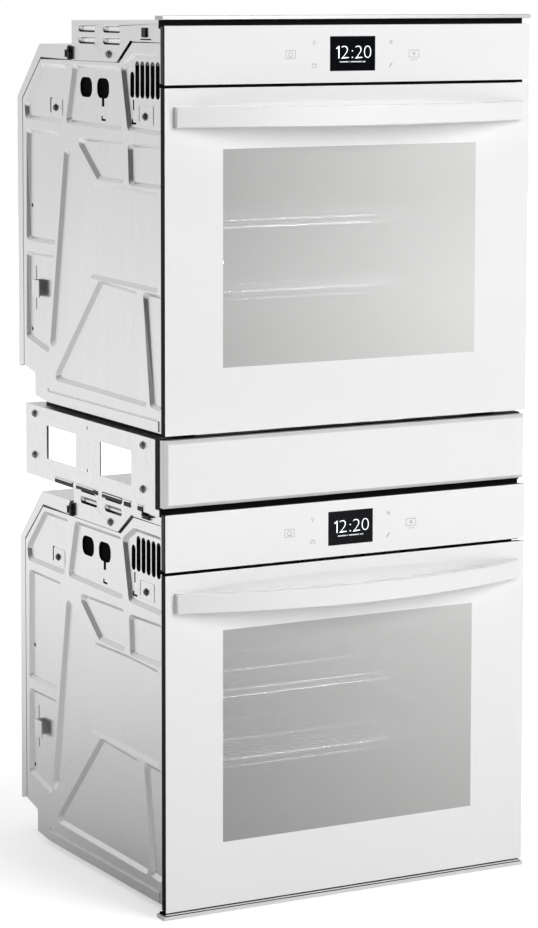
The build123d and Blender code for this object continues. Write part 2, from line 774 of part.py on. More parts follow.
with BuildPart() as fan_motor:
    rod_y(0, (462, 498), FAN_HEIGHT, 36)
    rod_y(0, (455, 462), FAN_HEIGHT, 14)
    block((-52, 52), (453.5, 455), (FAN_HEIGHT - 20, FAN_HEIGHT + 20))
    rod_y(0, (452, 461), FAN_HEIGHT, 4.05, Mode.SUBTRACT)
    for strut_x in (-46, 46):
        rod_y(strut_x, (CAVITY_BACK + CAVITY_WALL, 453.5), FAN_HEIGHT, 4)
    rod_y(0, (498, 502), FAN_HEIGHT, 12)

write_group(both_ovens(fan_motor), "fan_motors")

with BuildPart() as ring_element:
    with BuildSketch(Plane(origin=(RING_R, FRONT_Y + FAN_DEPTH, FAN_HEIGHT))):
        Circle(3.2)
    revolve(axis=Axis((0, FRONT_Y + FAN_DEPTH, FAN_HEIGHT), (0, 1, 0)))
    for leg_x in (-RING_LEG_X, RING_LEG_X):
        rod_y(leg_x, (FAN_DEPTH, 468), FAN_HEIGHT - RING_R, 3.2)

write_group(both_ovens(ring_element), "ring_elements")

with BuildPart() as broil_element:
    right_half = [
        (BROIL_LEG_X, 468, BROIL_HEIGHT),
        (BROIL_LEG_X, 425, BROIL_HEIGHT),
        (170, 425, BROIL_HEIGHT),
        (170, 90, BROIL_HEIGHT),
        (110, 90, BROIL_HEIGHT),
        (110, 380, BROIL_HEIGHT),
        (40, 380, BROIL_HEIGHT),
        (40, 90, BROIL_HEIGHT),
    ]
    left_half = [(-x, depth, height) for x, depth, height in reversed(right_half)]
    bent_wire(right_half + left_half, 15, 3.2)

write_group(both_ovens(broil_element), "broil_elements")

with BuildPart() as oven_lamp:
    rod_y(LAMP[0], (440, CAVITY_BACK), LAMP[1], 22)
    fillet(oven_lamp.faces().sort_by(Axis.Y)[0].edges(), 8)
    rod_y(LAMP[0], (CAVITY_BACK, 468), LAMP[1], 15)

write_group(both_ovens(oven_lamp), "oven_lamps")

with BuildPart() as temperature_probe:
    rod_y(PROBE[0], (372, 466), PROBE[1], 3)
    rod_y(PROBE[0], (448, CAVITY_BACK), PROBE[1], 9)
    fillet(temperature_probe.faces().sort_by(Axis.Y)[0].edges(), 2)

write_group(both_ovens(temperature_probe), "temperature_probes")

# ---- cooling blower ----

BLOWER_SHAFT_R = 3.0

with BuildPart() as blower_rotor:
    for disc_x in (-BLOWER_HALF + 1, 0, BLOWER_HALF - 1):
        rod_x((disc_x - 1, disc_x + 1), BLOWER_DEPTH, BLOWER_HEIGHT, BLOWER_R)
    rod_x((-BLOWER_HALF - 8, 131), BLOWER_DEPTH, BLOWER_HEIGHT, BLOWER_SHAFT_R)
    with BuildSketch(side_plane(-BLOWER_HALF)):
        with Locations((BLOWER_DEPTH, BLOWER_HEIGHT)):
            with PolarLocations(BLOWER_R - 3.2, 20):
                Rectangle(5.6, 0.9, rotation=35)
    extrude(amount=2 * BLOWER_HALF)

write_for_both(blower_rotor, "blower_rotor")

SCROLL_R = 26.5
SCROLL_HALF = BLOWER_HALF + 3
SCROLL_WALL = 1.2

with BuildPart() as blower_housing:
    with BuildSketch(side_plane(-SCROLL_HALF)):
        with Locations((BLOWER_DEPTH, BLOWER_HEIGHT)):
            Circle(SCROLL_R)
        with Locations((BLOWER_DEPTH - 45, BLOWER_HEIGHT + 14.25)):
            Rectangle(90, 24.5)
    extrude(amount=2 * SCROLL_HALF)
    with BuildSketch(side_plane(-SCROLL_HALF + SCROLL_WALL)):
        with Locations((BLOWER_DEPTH, BLOWER_HEIGHT)):
            Circle(SCROLL_R - SCROLL_WALL)
        with Locations((BLOWER_DEPTH - 46, BLOWER_HEIGHT + 14.25)):
            Rectangle(92, 24.5 - 2 * SCROLL_WALL)
    extrude(amount=2 * (SCROLL_HALF - SCROLL_WALL), mode=Mode.SUBTRACT)
    rod_x((-SCROLL_HALF - 1, SCROLL_HALF + 1), BLOWER_DEPTH, BLOWER_HEIGHT, 15, Mode.SUBTRACT)
    # Motor on the right end, held by two bars
    rod_x((124, 162), BLOWER_DEPTH, BLOWER_HEIGHT, 20)
    rod_x((123, 132), BLOWER_DEPTH, BLOWER_HEIGHT, BLOWER_SHAFT_R + 0.05, Mode.SUBTRACT)
    for bar_height in (BLOWER_HEIGHT - 17.5, BLOWER_HEIGHT + 17.5):
        rod_x((SCROLL_HALF, 130), BLOWER_DEPTH, bar_height, 2)

write_group(both_ovens(blower_housing), "blower_housings")

# ---- trims and the filler section between the ovens ----

TRIM_HALF = 300.0
UPPER_PANEL_TOP = OVEN_PITCH + PANEL_TOP

with BuildPart() as top_trim:
    trim_bottom = UPPER_PANEL_TOP + 8.2
    block((-TRIM_HALF, TRIM_HALF), (0, FRAME_BACK), (trim_bottom, trim_bottom + 5.6))
    block(
        (-FRAME_HALF, FRAME_HALF),
        (FRAME_DEPTH - 1.5, FRAME_DEPTH),
        (UPPER_PANEL_TOP - 4, trim_bottom),
    )
    fillet(top_trim.edges().filter_by(Axis.X).sort_by(Axis.Y)[0:2], 0.8)

top_trim.part.label = "top_trim"
export_step(top_trim.part, "parts/top_trim.step")

with BuildPart() as bottom_trim:
    block((-TRIM_HALF, TRIM_HALF), (0, FRAME_BACK), (-7, -1.5))
    block((-FRAME_HALF, FRAME_HALF), (FRAME_DEPTH, FRAME_BACK), (-1.5, 2))
    fillet(bottom_trim.edges().filter_by(Axis.X).sort_by(Axis.Y)[0:2], 0.8)

bottom_trim.part.label = "bottom_trim"
export_step(bottom_trim.part, "parts/bottom_trim.step")

FILLER_BOTTOM, FILLER_TOP = 579.0, 674.0
FILLER_DEPTH = 16.0

with BuildPart() as centre_panel:
    block((-FRONT_HALF, FRONT_HALF), (0, FILLER_DEPTH), (FILLER_BOTTOM, FILLER_TOP))
    chamfer(centre_panel.faces().sort_by(Axis.Y)[0].edges(), 5)
    offset(
        amount=-SHEET,
        openings=centre_panel.faces().sort_by(Axis.Y)[-1],
        kind=Kind.INTERSECTION,
    )

centre_panel.part.label = "centre_panel"
export_step(centre_panel.part, "parts/centre_panel.step")

FILLER_FRAME_BACK = 31.5

with BuildPart() as centre_panel_frame:
    frame_low, frame_high = FILLER_BOTTOM - 4, FILLER_TOP + 1.5
    block((-FRONT_HALF, FRONT_HALF), (FILLER_DEPTH, FILLER_FRAME_BACK), (frame_low, frame_high))
    block(
        (-FRONT_HALF + 2, FRONT_HALF - 2),
        (FILLER_DEPTH, FILLER_FRAME_BACK - 1.5),
        (frame_low + 2, frame_high - 2),
        Mode.SUBTRACT,
    )
    # Rails that carry the upper oven
    for side in (-1, 1):
        rail = sorted((side * 235, side * 262))
        block(rail, (FILLER_FRAME_BACK - 1.5, 470), (BRACKET_TOP, OVEN_PITCH))
        block(
            (rail[0] + 1.5, rail[1] - 1.5),
            (FILLER_FRAME_BACK, 470),
            (BRACKET_TOP, OVEN_PITCH - 1.5),
            Mode.SUBTRACT,
        )

centre_panel_frame.part.label = "centre_panel_frame"
export_step(centre_panel_frame.part, "parts/centre_panel_frame.step")

BRACKET_FRONT, BRACKET_REAR = 32.0, 500.0
WINDOW_W, WINDOW_H = 102.0, 50.0
WINDOWS = ((373.5, 617), (188.5, 617))
BRACKET_TABS = ((364, 62), (290, 62), (200, 66), (150, 22), (108, 18))

with BuildPart() as left_bracket:
    with BuildSketch(side_plane(-BRACKET_X - BRACKET_T)):
        with Locations(
            ((BRACKET_FRONT + BRACKET_REAR) / 2, (BRACKET_BOTTOM + BRACKET_TOP) / 2)
        ):
            Rectangle(BRACKET_REAR - BRACKET_FRONT, BRACKET_TOP - BRACKET_BOTTOM)
        with Locations(*WINDOWS):
            Rectangle(WINDOW_W, WINDOW_H, mode=Mode.SUBTRACT)
        with Locations(*BRACKET_HOLES):
            Circle(2.5, mode=Mode.SUBTRACT)
        # Gaps along the lower edge, from which tabs are bent
        for tab_depth, tab_length in BRACKET_TABS:
            with Locations((tab_depth, BRACKET_BOTTOM + 3)):
                Rectangle(tab_length, 8, mode=Mode.SUBTRACT)
    extrude(amount=BRACKET_T)
    # Flange along the top, and the uprights between the two ovens
    block(
        (-BRACKET_X - BRACKET_T, -BRACKET_X + 28),
        (BRACKET_FRONT, BRACKET_REAR),
        (BRACKET_TOP - BRACKET_T, BRACKET_TOP),
    )
    for post_depth in (99.6, 467.3):
        block(
            (-BRACKET_X, -BRACKET_X + 16),
            (post_depth - 12, post_depth + 12),
            (DUCT_TOP + 2, BRACKET_TOP),
        )
        block(
            (-BRACKET_X, -BRACKET_X + 14.5),
            (post_depth - 10.5, post_depth + 10.5),
            (DUCT_TOP + 2, BRACKET_TOP - BRACKET_T),
            Mode.SUBTRACT,
        )
    # The bent tabs, standing out a little below each gap
    for tab_depth, tab_length in BRACKET_TABS:
        block(
            (-BRACKET_X - BRACKET_T - 2, -BRACKET_X),
            (tab_depth - tab_length / 2, tab_depth + tab_length / 2),
            (BRACKET_BOTTOM + 7, BRACKET_BOTTOM + 8.5),
        )

with BuildPart() as right_bracket:
    add(left_bracket.part)
    mirror(about=Plane.YZ, mode=Mode.REPLACE)

write_group([left_bracket.part.solid(), right_bracket.part.solid()], "centre_brackets")

# ---- supply connection and fasteners ----

GLAND_X, GLAND_HEIGHT = 170.0, 617.0
GLAND_BORE_R = 11.0

with BuildPart() as junction_box:
    block((115, 225), (415, 485), (FILLER_BOTTOM, 655))
    block((116.5, 223.5), (416.5, 483.5), (FILLER_BOTTOM + 1.5, 653.5), Mode.SUBTRACT)
    rod_y(GLAND_X, (480, 490), GLAND_HEIGHT, GLAND_BORE_R + 3, Mode.SUBTRACT)

junction_box.part.label = "junction_box"
export_step(junction_box.part, "parts/junction_box.step")

with BuildPart() as conduit_gland:
    rod_y(GLAND_X, (485, 491), GLAND_HEIGHT, 17)
    rod_y(GLAND_X, (491, 505), GLAND_HEIGHT, 14.5)
    rod_y(GLAND_X, (480, 510), GLAND_HEIGHT, GLAND_BORE_R, Mode.SUBTRACT)

conduit_gland.part.label = "conduit_gland"
export_step(conduit_gland.part, "parts/conduit_gland.step")


def side_screw(face_x, depth, height):
    """Hexagon head with a washer face and a cross recess, on a side plate."""
    outward = -1 if face_x < 0 else 1
    with BuildPart() as screw:
        rod_x(sorted((face_x, face_x + outward)), depth, height, 6)
        with BuildSketch(side_plane(face_x)):
            with Locations((depth, height)):
                RegularPolygon(4.6, 6)
        extrude(amount=outward * 4)
        for width, length in ((1.4, 5), (5, 1.4)):
            recess_x = sorted((face_x + outward * 2.5, face_x + outward * 4))
            block(
                recess_x,
                (depth - width / 2, depth + width / 2),
                (height - length / 2, height + length / 2),
                Mode.SUBTRACT,
            )
    return screw.part.solid()


screws = []
for side in (-1, 1):
    for screw_depth, screw_height in BRACKET_SCREWS:
        screws.append(side_screw(side * (BRACKET_X + BRACKET_T), screw_depth, screw_height))
    for base in (0, OVEN_PITCH):
        for screw_depth, screw_height in (DUCT_SCREW, *PAD_SCREWS):
            recess_level = SIDE_HALF if screw_height > 500 else SIDE_HALF - RECESS
            screws.append(side_screw(side * recess_level, screw_depth, base + screw_height))
write_group(screws, "chassis_screws")
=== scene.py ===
import json
import math

import bmesh
import bpy
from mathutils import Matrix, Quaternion, Vector


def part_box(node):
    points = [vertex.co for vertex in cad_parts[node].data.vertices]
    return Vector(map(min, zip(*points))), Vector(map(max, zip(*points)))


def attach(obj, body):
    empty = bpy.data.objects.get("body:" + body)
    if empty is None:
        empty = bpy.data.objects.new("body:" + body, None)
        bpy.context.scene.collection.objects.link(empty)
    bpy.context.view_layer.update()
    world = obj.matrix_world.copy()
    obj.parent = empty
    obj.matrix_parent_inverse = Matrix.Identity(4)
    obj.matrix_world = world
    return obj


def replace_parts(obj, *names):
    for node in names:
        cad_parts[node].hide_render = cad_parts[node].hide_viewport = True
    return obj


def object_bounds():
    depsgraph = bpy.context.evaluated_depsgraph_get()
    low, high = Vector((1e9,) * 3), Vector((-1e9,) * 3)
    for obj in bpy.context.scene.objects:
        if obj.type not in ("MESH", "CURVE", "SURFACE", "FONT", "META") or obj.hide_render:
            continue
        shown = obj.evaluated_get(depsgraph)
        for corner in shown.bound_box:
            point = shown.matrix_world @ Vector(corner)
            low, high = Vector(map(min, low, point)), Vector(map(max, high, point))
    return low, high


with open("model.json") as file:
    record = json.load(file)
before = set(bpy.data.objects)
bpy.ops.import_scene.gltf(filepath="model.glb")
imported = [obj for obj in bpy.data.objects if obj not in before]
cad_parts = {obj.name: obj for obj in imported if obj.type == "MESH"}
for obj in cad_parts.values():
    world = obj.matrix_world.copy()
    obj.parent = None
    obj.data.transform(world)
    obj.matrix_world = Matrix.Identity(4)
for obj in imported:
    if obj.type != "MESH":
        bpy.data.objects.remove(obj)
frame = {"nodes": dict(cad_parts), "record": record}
cad_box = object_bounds()

MM = 0.001
OVENS = ("lower", "upper")

# ---------------------------------------------------------------- places

front_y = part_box("lower_door_glass")[0].y
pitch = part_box("upper_door_glass")[0].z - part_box("lower_door_glass")[0].z
BASE = {"lower": 0.0, "upper": pitch}


def place(x, depth, height, oven="lower"):
    """A point from X, depth behind the front glass and height in its oven, all in millimetres."""
    return Vector((x * MM, front_y + depth * MM, BASE[oven] + height * MM))


# ---------------------------------------------------------------- materials


class Shader:
    """A material being built: one Principled shader and helpers that feed it."""

    def __init__(self, name, color, roughness, metallic=0.0):
        self.material = bpy.data.materials.new(name)
        self.material.use_nodes = True
        self.nodes = self.material.node_tree.nodes
        self.links = self.material.node_tree.links
        self.bsdf = self.nodes["Principled BSDF"]
        self.set("Base Color", (*color, 1.0))
        self.set("Roughness", roughness)
        self.set("Metallic", metallic)
        self.color = color
        self.coords = self.nodes.new("ShaderNodeTexCoord").outputs["Object"]

    def set(self, socket, value):
        self.bsdf.inputs[socket].default_value = value

    def add(self, kind, **values):
        node = self.nodes.new(kind)
        for key, value in values.items():
            setattr(node, key, value)
        return node

    def stretched(self, scale):
        """Object coordinates scaled by a vector, for streaks and lines."""
        node = self.add("ShaderNodeMapping")
        node.inputs["Scale"].default_value = scale
        self.links.new(self.coords, node.inputs["Vector"])
        return node.outputs["Vector"]

    def noise(self, scale, detail=3.0, stretch=(1, 1, 1), rough=0.55):
        node = self.add("ShaderNodeTexNoise")
        node.inputs["Scale"].default_value = scale
        node.inputs["Detail"].default_value = detail
        node.inputs["Roughness"].default_value = rough
        self.links.new(self.stretched(stretch), node.inputs["Vector"])
        return node.outputs["Fac"]

    def cells(self, scale):
        """A random grey for each zinc crystal."""
        node = self.add("ShaderNodeTexVoronoi")
        node.inputs["Scale"].default_value = scale
        self.links.new(self.coords, node.inputs["Vector"])
        split = self.add("ShaderNodeSeparateColor")
        self.links.new(node.outputs["Color"], split.inputs["Color"])
        return split.outputs["Red"]

    def ramp(self, value, low, high, low_at=0.0, high_at=1.0):
        """Map a value between two places onto a range."""
        node = self.add("ShaderNodeMapRange")
        node.inputs["From Min"].default_value = low_at
        node.inputs["From Max"].default_value = high_at
        node.inputs["To Min"].default_value = low
        node.inputs["To Max"].default_value = high
        self.links.new(value, node.inputs["Value"])
        return node.outputs["Result"]

    def math(self, operation, a, b):
        node = self.add("ShaderNodeMath", operation=operation)
        for socket, value in zip(node.inputs, (a, b)):
            if isinstance(value, (int, float)):
                socket.default_value = value
            else:
                self.links.new(value, socket)
        return node.outputs["Value"]

    def tint(self, *factors):
        """Multiply the base colour by grey factors that hover round one."""
        value = factors[0]
        for factor in factors[1:]:
            value = self.math("MULTIPLY", value, factor)
        node = self.add("ShaderNodeVectorMath", operation="SCALE")
        node.inputs[0].default_value = self.color
        self.links.new(value, node.inputs["Scale"])
        self.links.new(node.outputs["Vector"], self.bsdf.inputs["Base Color"])
        return self

    def mixed(self, factor, other):
        """Blend the base colour towards another colour by a factor."""
        node = self.add("ShaderNodeMix", data_type="RGBA")
        node.inputs["A"].default_value = (*self.color, 1.0)
        node.inputs["B"].default_value = (*other, 1.0)
        self.links.new(factor, node.inputs["Factor"])
        self.links.new(node.outputs["Result"], self.bsdf.inputs["Base Color"])
        return self

    def rough(self, value):
        self.links.new(value, self.bsdf.inputs["Roughness"])
        return self

    def bump(self, height, distance, strength=1.0):
        node = self.add("ShaderNodeBump")
        node.inputs["Distance"].default_value = distance
        node.inputs["Strength"].default_value = strength
        self.links.new(height, node.inputs["Height"])
        self.links.new(node.outputs["Normal"], self.bsdf.inputs["Normal"])
        return self


def white_glass():
    """White-backed tempered glass: glossy, with the faint waviness of a rolled sheet."""
    s = Shader("white_glass", (0.895, 0.897, 0.90), 0.06)
    s.set("Coat Weight", 0.35)
    s.set("Coat Roughness", 0.02)
    s.tint(s.ramp(s.noise(3.0, 2.0), 0.99, 1.01))
    s.rough(s.ramp(s.noise(60.0), 0.05, 0.09))
    return s.bump(s.noise(9.0, 1.0), 0.00006, 0.35).material


LINE_PITCH, THREAD_PITCH = 0.0036, 0.0021  # printed lines of the window, in metres
LINE_DEPTH, THREAD_DEPTH = 0.013, 0.006  # how much each darkens and lightens the colour


def window_glass():
    """Clear stretch of the door glass, screened by a fine pattern of printed lines, with a
    painted reflection graded across it.
    """
    s = Shader("window_glass", (0.785, 0.782, 0.775), 0.12)
    s.set("Coat Weight", 0.5)
    s.set("Coat Roughness", 0.02)
    split = s.add("ShaderNodeSeparateXYZ")
    s.links.new(s.coords, split.inputs["Vector"])
    line = s.math("SINE", s.math("MULTIPLY", split.outputs["Z"], 2 * math.pi / LINE_PITCH), 0)
    fine = s.math("SINE", s.math("MULTIPLY", split.outputs["X"], 2 * math.pi / THREAD_PITCH), 0)
    weave = s.math(
        "ADD",
        s.ramp(line, -LINE_DEPTH, LINE_DEPTH, -1, 1),
        s.ramp(fine, -THREAD_DEPTH, THREAD_DEPTH, -1, 1),
    )
    # Painted reflection: brighter to the right, and from the foot of each door to its head
    across = s.ramp(split.outputs["X"], 0.79, 1.21, -0.21, 0.21)
    painted_light_low = s.ramp(split.outputs["Z"], 0.60, 1.0, 0.05, 0.85)
    painted_light_high = s.ramp(split.outputs["Z"], 1.0, 0.88, 0.85, 1.08)
    s.tint(across, painted_light_low, painted_light_high, s.math("ADD", weave, 1.0))
    s.links.new(s.ramp(line, 0.79, 0.83, -1, 1), s.bsdf.inputs["Alpha"])
    return s.material


def glass_edge():
    """Ground edge of the sheet, coloured near black for the dark it shows as it looks into the
    glass: painted shade.
    """
    s = Shader("glass_edge", (0.009, 0.010, 0.010), 0.3)
    s.set("Specular IOR Level", 0.02)
    s.tint(s.ramp(s.noise(90.0, 3.0), 0.8, 1.25))
    s.rough(s.ramp(s.noise(220.0), 0.22, 0.4))
    return s.material


def clear_glass(name, alpha):
    """Plain pane: mostly seen by its gloss."""
    s = Shader(name, (0.75, 0.80, 0.79), 0.03)
    s.set("Alpha", alpha)
    s.set("Coat Weight", 0.3)
    s.rough(s.ramp(s.noise(40.0), 0.02, 0.06))
    return s.material


def white_paint():
    """Powder coat with a very slight orange peel."""
    s = Shader("white_paint", (0.885, 0.885, 0.885), 0.24)
    s.set("Coat Weight", 0.25)
    s.set("Coat Roughness", 0.12)
    s.tint(s.ramp(s.noise(7.0, 2.0), 0.992, 1.006))
    s.rough(s.ramp(s.noise(300.0), 0.2, 0.28))
    return s.bump(s.noise(700.0, 1.0), 0.000006, 0.25).material


def zinc_steel():
    """Bright zinc-coated sheet: faint rolling streaks, fine crystals and cloudy patches."""
    s = Shader("zinc_steel", (0.705, 0.705, 0.708), 0.24, 0.96)
    crystal = s.ramp(s.cells(240.0), 0.985, 1.012)
    streak = s.ramp(s.noise(22.0, 4.0, (1, 9, 0.35)), 0.955, 1.035)
    cloud = s.ramp(s.noise(5.0, 3.0), 0.965, 1.03)
    s.tint(crystal, streak, cloud)
    s.rough(s.ramp(s.noise(14.0, 4.0, (1, 6, 0.5), 0.6), 0.19, 0.29))
    return s.bump(s.noise(160.0, 2.0), 0.00001, 0.35).material


def spangled_steel():
    """Hot-dip galvanised sheet with a fine spangle."""
    s = Shader("spangled_steel", (0.80, 0.80, 0.805), 0.34, 0.9)
    spangle = s.ramp(s.cells(130.0), 0.93, 1.05)
    streak = s.ramp(s.noise(40.0, 5.0, (1, 4, 0.5), 0.65), 0.93, 1.05)
    s.tint(spangle, streak)
    s.rough(s.ramp(s.cells(130.0), 0.28, 0.42))
    return s.bump(s.noise(260.0, 2.0), 0.00001, 0.4).material


def dark_zinc(name, color):
    """Passivated screw heads, mottled darker and lighter at random."""
    s = Shader(name, color, 0.3, 0.95)
    s.tint(s.ramp(s.noise(300.0, 3.0), 0.8, 1.2))
    s.rough(s.ramp(s.noise(500.0, 3.0), 0.22, 0.42))
    return s.bump(s.noise(900.0, 2.0), 0.00003, 0.5).material


def black_steel():
    """Satin black enamel with a soft texture."""
    s = Shader("black_steel", (0.008, 0.008, 0.0085), 0.4)
    s.set("Specular IOR Level", 0.03)
    s.tint(s.ramp(s.noise(25.0, 4.0), 0.8, 1.25))
    s.rough(s.ramp(s.noise(120.0), 0.3, 0.48))
    return s.bump(s.noise(700.0, 2.0), 0.00003, 0.6).material


def painted_shade_black():
    """Matt near-black finish of the parts that lie in shade, dark for that shade: painted shade.
    """
    s = Shader("painted_shade_black", (0.006, 0.006, 0.006), 0.9)
    s.set("Specular IOR Level", 0.02)
    s.tint(s.ramp(s.noise(60.0, 4.0), 0.6, 1.6))
    s.rough(s.ramp(s.noise(200.0), 0.8, 1.0))
    return s.bump(s.noise(600.0, 3.0), 0.0001, 0.6).material


def black_plastic():
    """Grained moulding."""
    s = Shader("black_plastic", (0.011, 0.011, 0.0115), 0.5)
    s.set("Specular IOR Level", 0.3)
    s.tint(s.ramp(s.noise(35.0, 4.0), 0.8, 1.2))
    s.rough(s.ramp(s.noise(200.0), 0.42, 0.6))
    return s.bump(s.noise(1100.0, 3.0), 0.00005, 0.7).material


def display_black():
    """Gloss screen with a faint fine dot grid."""
    s = Shader("display_black", (0.004, 0.0045, 0.006), 0.05)
    s.set("Specular IOR Level", 0.08)
    s.tint(s.ramp(s.noise(500.0, 1.0), 0.7, 1.4))
    s.rough(s.ramp(s.noise(50.0), 0.04, 0.08))
    return s.material


def cavity_enamel():
    """Dark vitreous enamel with light specks."""
    s = Shader("cavity_enamel", (0.10, 0.11, 0.125), 0.22)
    speck = s.ramp(s.noise(420.0, 1.0), 0.0, 1.0, 0.66, 0.74)
    s.mixed(speck, (0.42, 0.45, 0.48))
    s.rough(s.ramp(s.noise(60.0), 0.16, 0.3))
    return s.bump(s.noise(180.0, 3.0), 0.00008, 0.5).material


def chrome_wire():
    """Plated rack wire, slightly worn."""
    s = Shader("chrome_wire", (0.80, 0.805, 0.81), 0.3, 0.55)
    s.tint(s.ramp(s.noise(60.0, 3.0), 0.93, 1.04))
    s.rough(s.ramp(s.noise(140.0, 3.0), 0.24, 0.4))
    return s.material


def silicone():
    """Dull dark rubber of the door gasket."""
    s = Shader("silicone", (0.045, 0.045, 0.045), 0.65)
    s.tint(s.ramp(s.noise(50.0, 3.0), 0.85, 1.2))
    s.rough(s.ramp(s.noise(90.0), 0.55, 0.75))
    return s.bump(s.noise(400.0, 2.0), 0.0001, 0.5).material


def wool():
    """Glass-wool blanket: matted fibres."""
    s = Shader("wool", (0.72, 0.66, 0.42), 0.95)
    fibre = s.noise(140.0, 8.0, (1, 5, 1), 0.75)
    s.tint(s.ramp(fibre, 0.6, 1.25))
    s.rough(s.ramp(fibre, 0.85, 1.0))
    return s.bump(fibre, 0.002, 0.9).material


def element_metal():
    """Heat-blued heating-element sheath."""
    s = Shader("element_metal", (0.13, 0.12, 0.115), 0.5, 0.7)
    s.mixed(s.ramp(s.noise(30.0, 5.0), 0.0, 0.5, 0.35, 0.75), (0.26, 0.22, 0.2))
    s.rough(s.ramp(s.noise(110.0), 0.4, 0.62))
    return s.bump(s.noise(500.0), 0.0001, 0.5).material


def aluminium():
    """Satin anodised strip, brushed along its length; kept darker than its lighter copy on the
    foot strip: painted shade on the top trim.
    """
    s = Shader("aluminium", (0.47, 0.475, 0.48), 0.34, 0.92)
    brush = s.noise(60.0, 5.0, (0.5, 20, 20), 0.7)
    s.tint(s.ramp(brush, 0.93, 1.05))
    s.rough(s.ramp(brush, 0.27, 0.42))
    return s.bump(brush, 0.00003, 0.5).material


def lit_foot_strip():
    """Blasted and anodised strip along the foot, a lighter copy of the aluminium for the light it
    catches: painted light.
    """
    s = Shader("lit_foot_strip", (0.80, 0.80, 0.80), 0.45, 0.25)
    grain = s.noise(60.0, 5.0, (0.5, 20, 20), 0.7)
    s.tint(s.ramp(grain, 0.95, 1.04))
    s.rough(s.ramp(grain, 0.38, 0.52))
    return s.bump(grain, 0.00003, 0.5).material


def motor_steel():
    """Laminated stack: fine edge lines."""
    s = Shader("motor_steel", (0.3, 0.3, 0.31), 0.45, 0.6)
    lines = s.noise(200.0, 2.0, (0.2, 6, 0.2))
    s.tint(s.ramp(lines, 0.75, 1.2))
    s.rough(s.ramp(s.noise(80.0), 0.38, 0.55))
    return s.bump(lines, 0.0002, 0.5).material


def board_green():
    """Circuit board under solder mask, with lighter tracks."""
    s = Shader("board_green", (0.03, 0.16, 0.08), 0.35)
    track = s.ramp(s.noise(90.0, 1.0, (1, 1, 6)), 0.0, 1.0, 0.54, 0.58)
    s.mixed(track, (0.06, 0.27, 0.13))
    s.rough(s.ramp(s.noise(150.0), 0.28, 0.45))
    return s.material


def lamp_glass():
    """Moulded cover of the cavity lamp."""
    s = Shader("lamp_glass", (0.9, 0.88, 0.8), 0.12)
    s.set("Alpha", 0.75)
    s.rough(s.ramp(s.noise(70.0), 0.08, 0.2))
    return s.bump(s.noise(150.0, 1.0), 0.0006, 0.8).material


def glowing(name, color, strength):
    """A lit part of the screen."""
    s = Shader(name, color, 0.4)
    s.set("Emission Color", (*color, 1.0))
    s.set("Emission Strength", strength)
    s.tint(s.ramp(s.noise(300.0, 1.0), 0.97, 1.03))
    return s.material


def printed_grey():
    """Touch symbols printed in light grey behind the glass."""
    s = Shader("printed_grey", (0.44, 0.45, 0.46), 0.2)
    s.tint(s.ramp(s.noise(600.0, 2.0), 0.94, 1.06))
    s.rough(s.ramp(s.noise(200.0), 0.15, 0.28))
    return s.material


# Glow of the floor near the object and far from it, then the two distances in metres:
# first as it is seen, then as it falls on the object
# As it is seen, the floor glows less near the object: painted shade round it.
SEEN_GLOW = (0.52, 0.97, 0.35, 1.6)
CAST_GLOW = (0.36, 0.82, 0.9, 2.5)
# Share of the latter before the object and behind it, then the two values of Y
CAST_SHARE = (0.2, 1.0, -0.1, 0.9)


def floor_paint():
    """Pale floor that brightens into the backdrop away from the object, glowing less near it as
    it is seen: painted shade round the object.
    """
    s = Shader("studio_floor", (0.84, 0.84, 0.84), 0.7)
    s.set("Emission Color", (1.0, 1.0, 1.0, 1.0))
    reach = s.add("ShaderNodeVectorMath", operation="LENGTH")
    s.links.new(s.coords, reach.inputs[0])
    split = s.add("ShaderNodeSeparateXYZ")
    s.links.new(s.coords, split.inputs["Vector"])
    seen = s.ramp(reach.outputs["Value"], *SEEN_GLOW)
    cast = s.math(
        "MULTIPLY",
        s.ramp(reach.outputs["Value"], *CAST_GLOW),
        s.ramp(split.outputs["Y"], *CAST_SHARE),
    )
    direct = s.add("ShaderNodeLightPath").outputs["Is Camera Ray"]
    glow = s.add("ShaderNodeMix", data_type="FLOAT")
    s.links.new(direct, glow.inputs["Factor"])
    s.links.new(cast, glow.inputs["A"])
    s.links.new(seen, glow.inputs["B"])
    s.links.new(glow.outputs["Result"], s.bsdf.inputs["Emission Strength"])
    s.tint(s.ramp(s.noise(0.7, 2.0), 0.99, 1.0))
    return s.material


MATERIALS = {
    "white_glass": white_glass(),
    "pane_glass": clear_glass("pane_glass", 0.12),
    "white_paint": white_paint(),
    "black_steel": black_steel(),
    "black_plastic": black_plastic(),
    "display_black": display_black(),
    "zinc_steel": zinc_steel(),
    "spangled_steel": spangled_steel(),
    "cavity_enamel": cavity_enamel(),
    "chrome_wire": chrome_wire(),
    "silicone": silicone(),
    "wool": wool(),
    "element_metal": element_metal(),
    "aluminium": aluminium(),
    "motor_steel": motor_steel(),
    "board_green": board_green(),
    "lamp_glass": lamp_glass(),
}
WINDOW = window_glass()
WINDOW_BACK = clear_glass("window_back", 0.08)
GLOW = glowing("screen_digits", (0.9, 0.93, 0.95), 0.9)
GLOW_DIM = glowing("screen_bars", (0.6, 0.62, 0.65), 0.35)
PRINT = printed_grey()
GLASS_EDGE = glass_edge()
PAINTED_SHADE_BLACK = painted_shade_black()
LIT_FOOT_STRIP = lit_foot_strip()
DARK_ZINC = dark_zinc("dark_zinc", (0.22, 0.22, 0.225))
BLACK_ZINC = dark_zinc("black_zinc", (0.09, 0.09, 0.092))

for part in frame["record"]["subparts"]:
    node = frame["nodes"][part["node"]]
    node.data.materials.clear()
    node.data.materials.append(MATERIALS[part["material_slot"]])


# ---------------------------------------------------------------- mesh helpers


def piece(name, mesh, body, slot, *materials):
    """Link a new piece, give it its finish and let it ride on a body."""
    made = bpy.data.objects.new(name, mesh)
    bpy.context.scene.collection.objects.link(made)
    for material in materials or (MATERIALS[slot],):
        mesh.materials.append(material)
    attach(made, body)
    return made


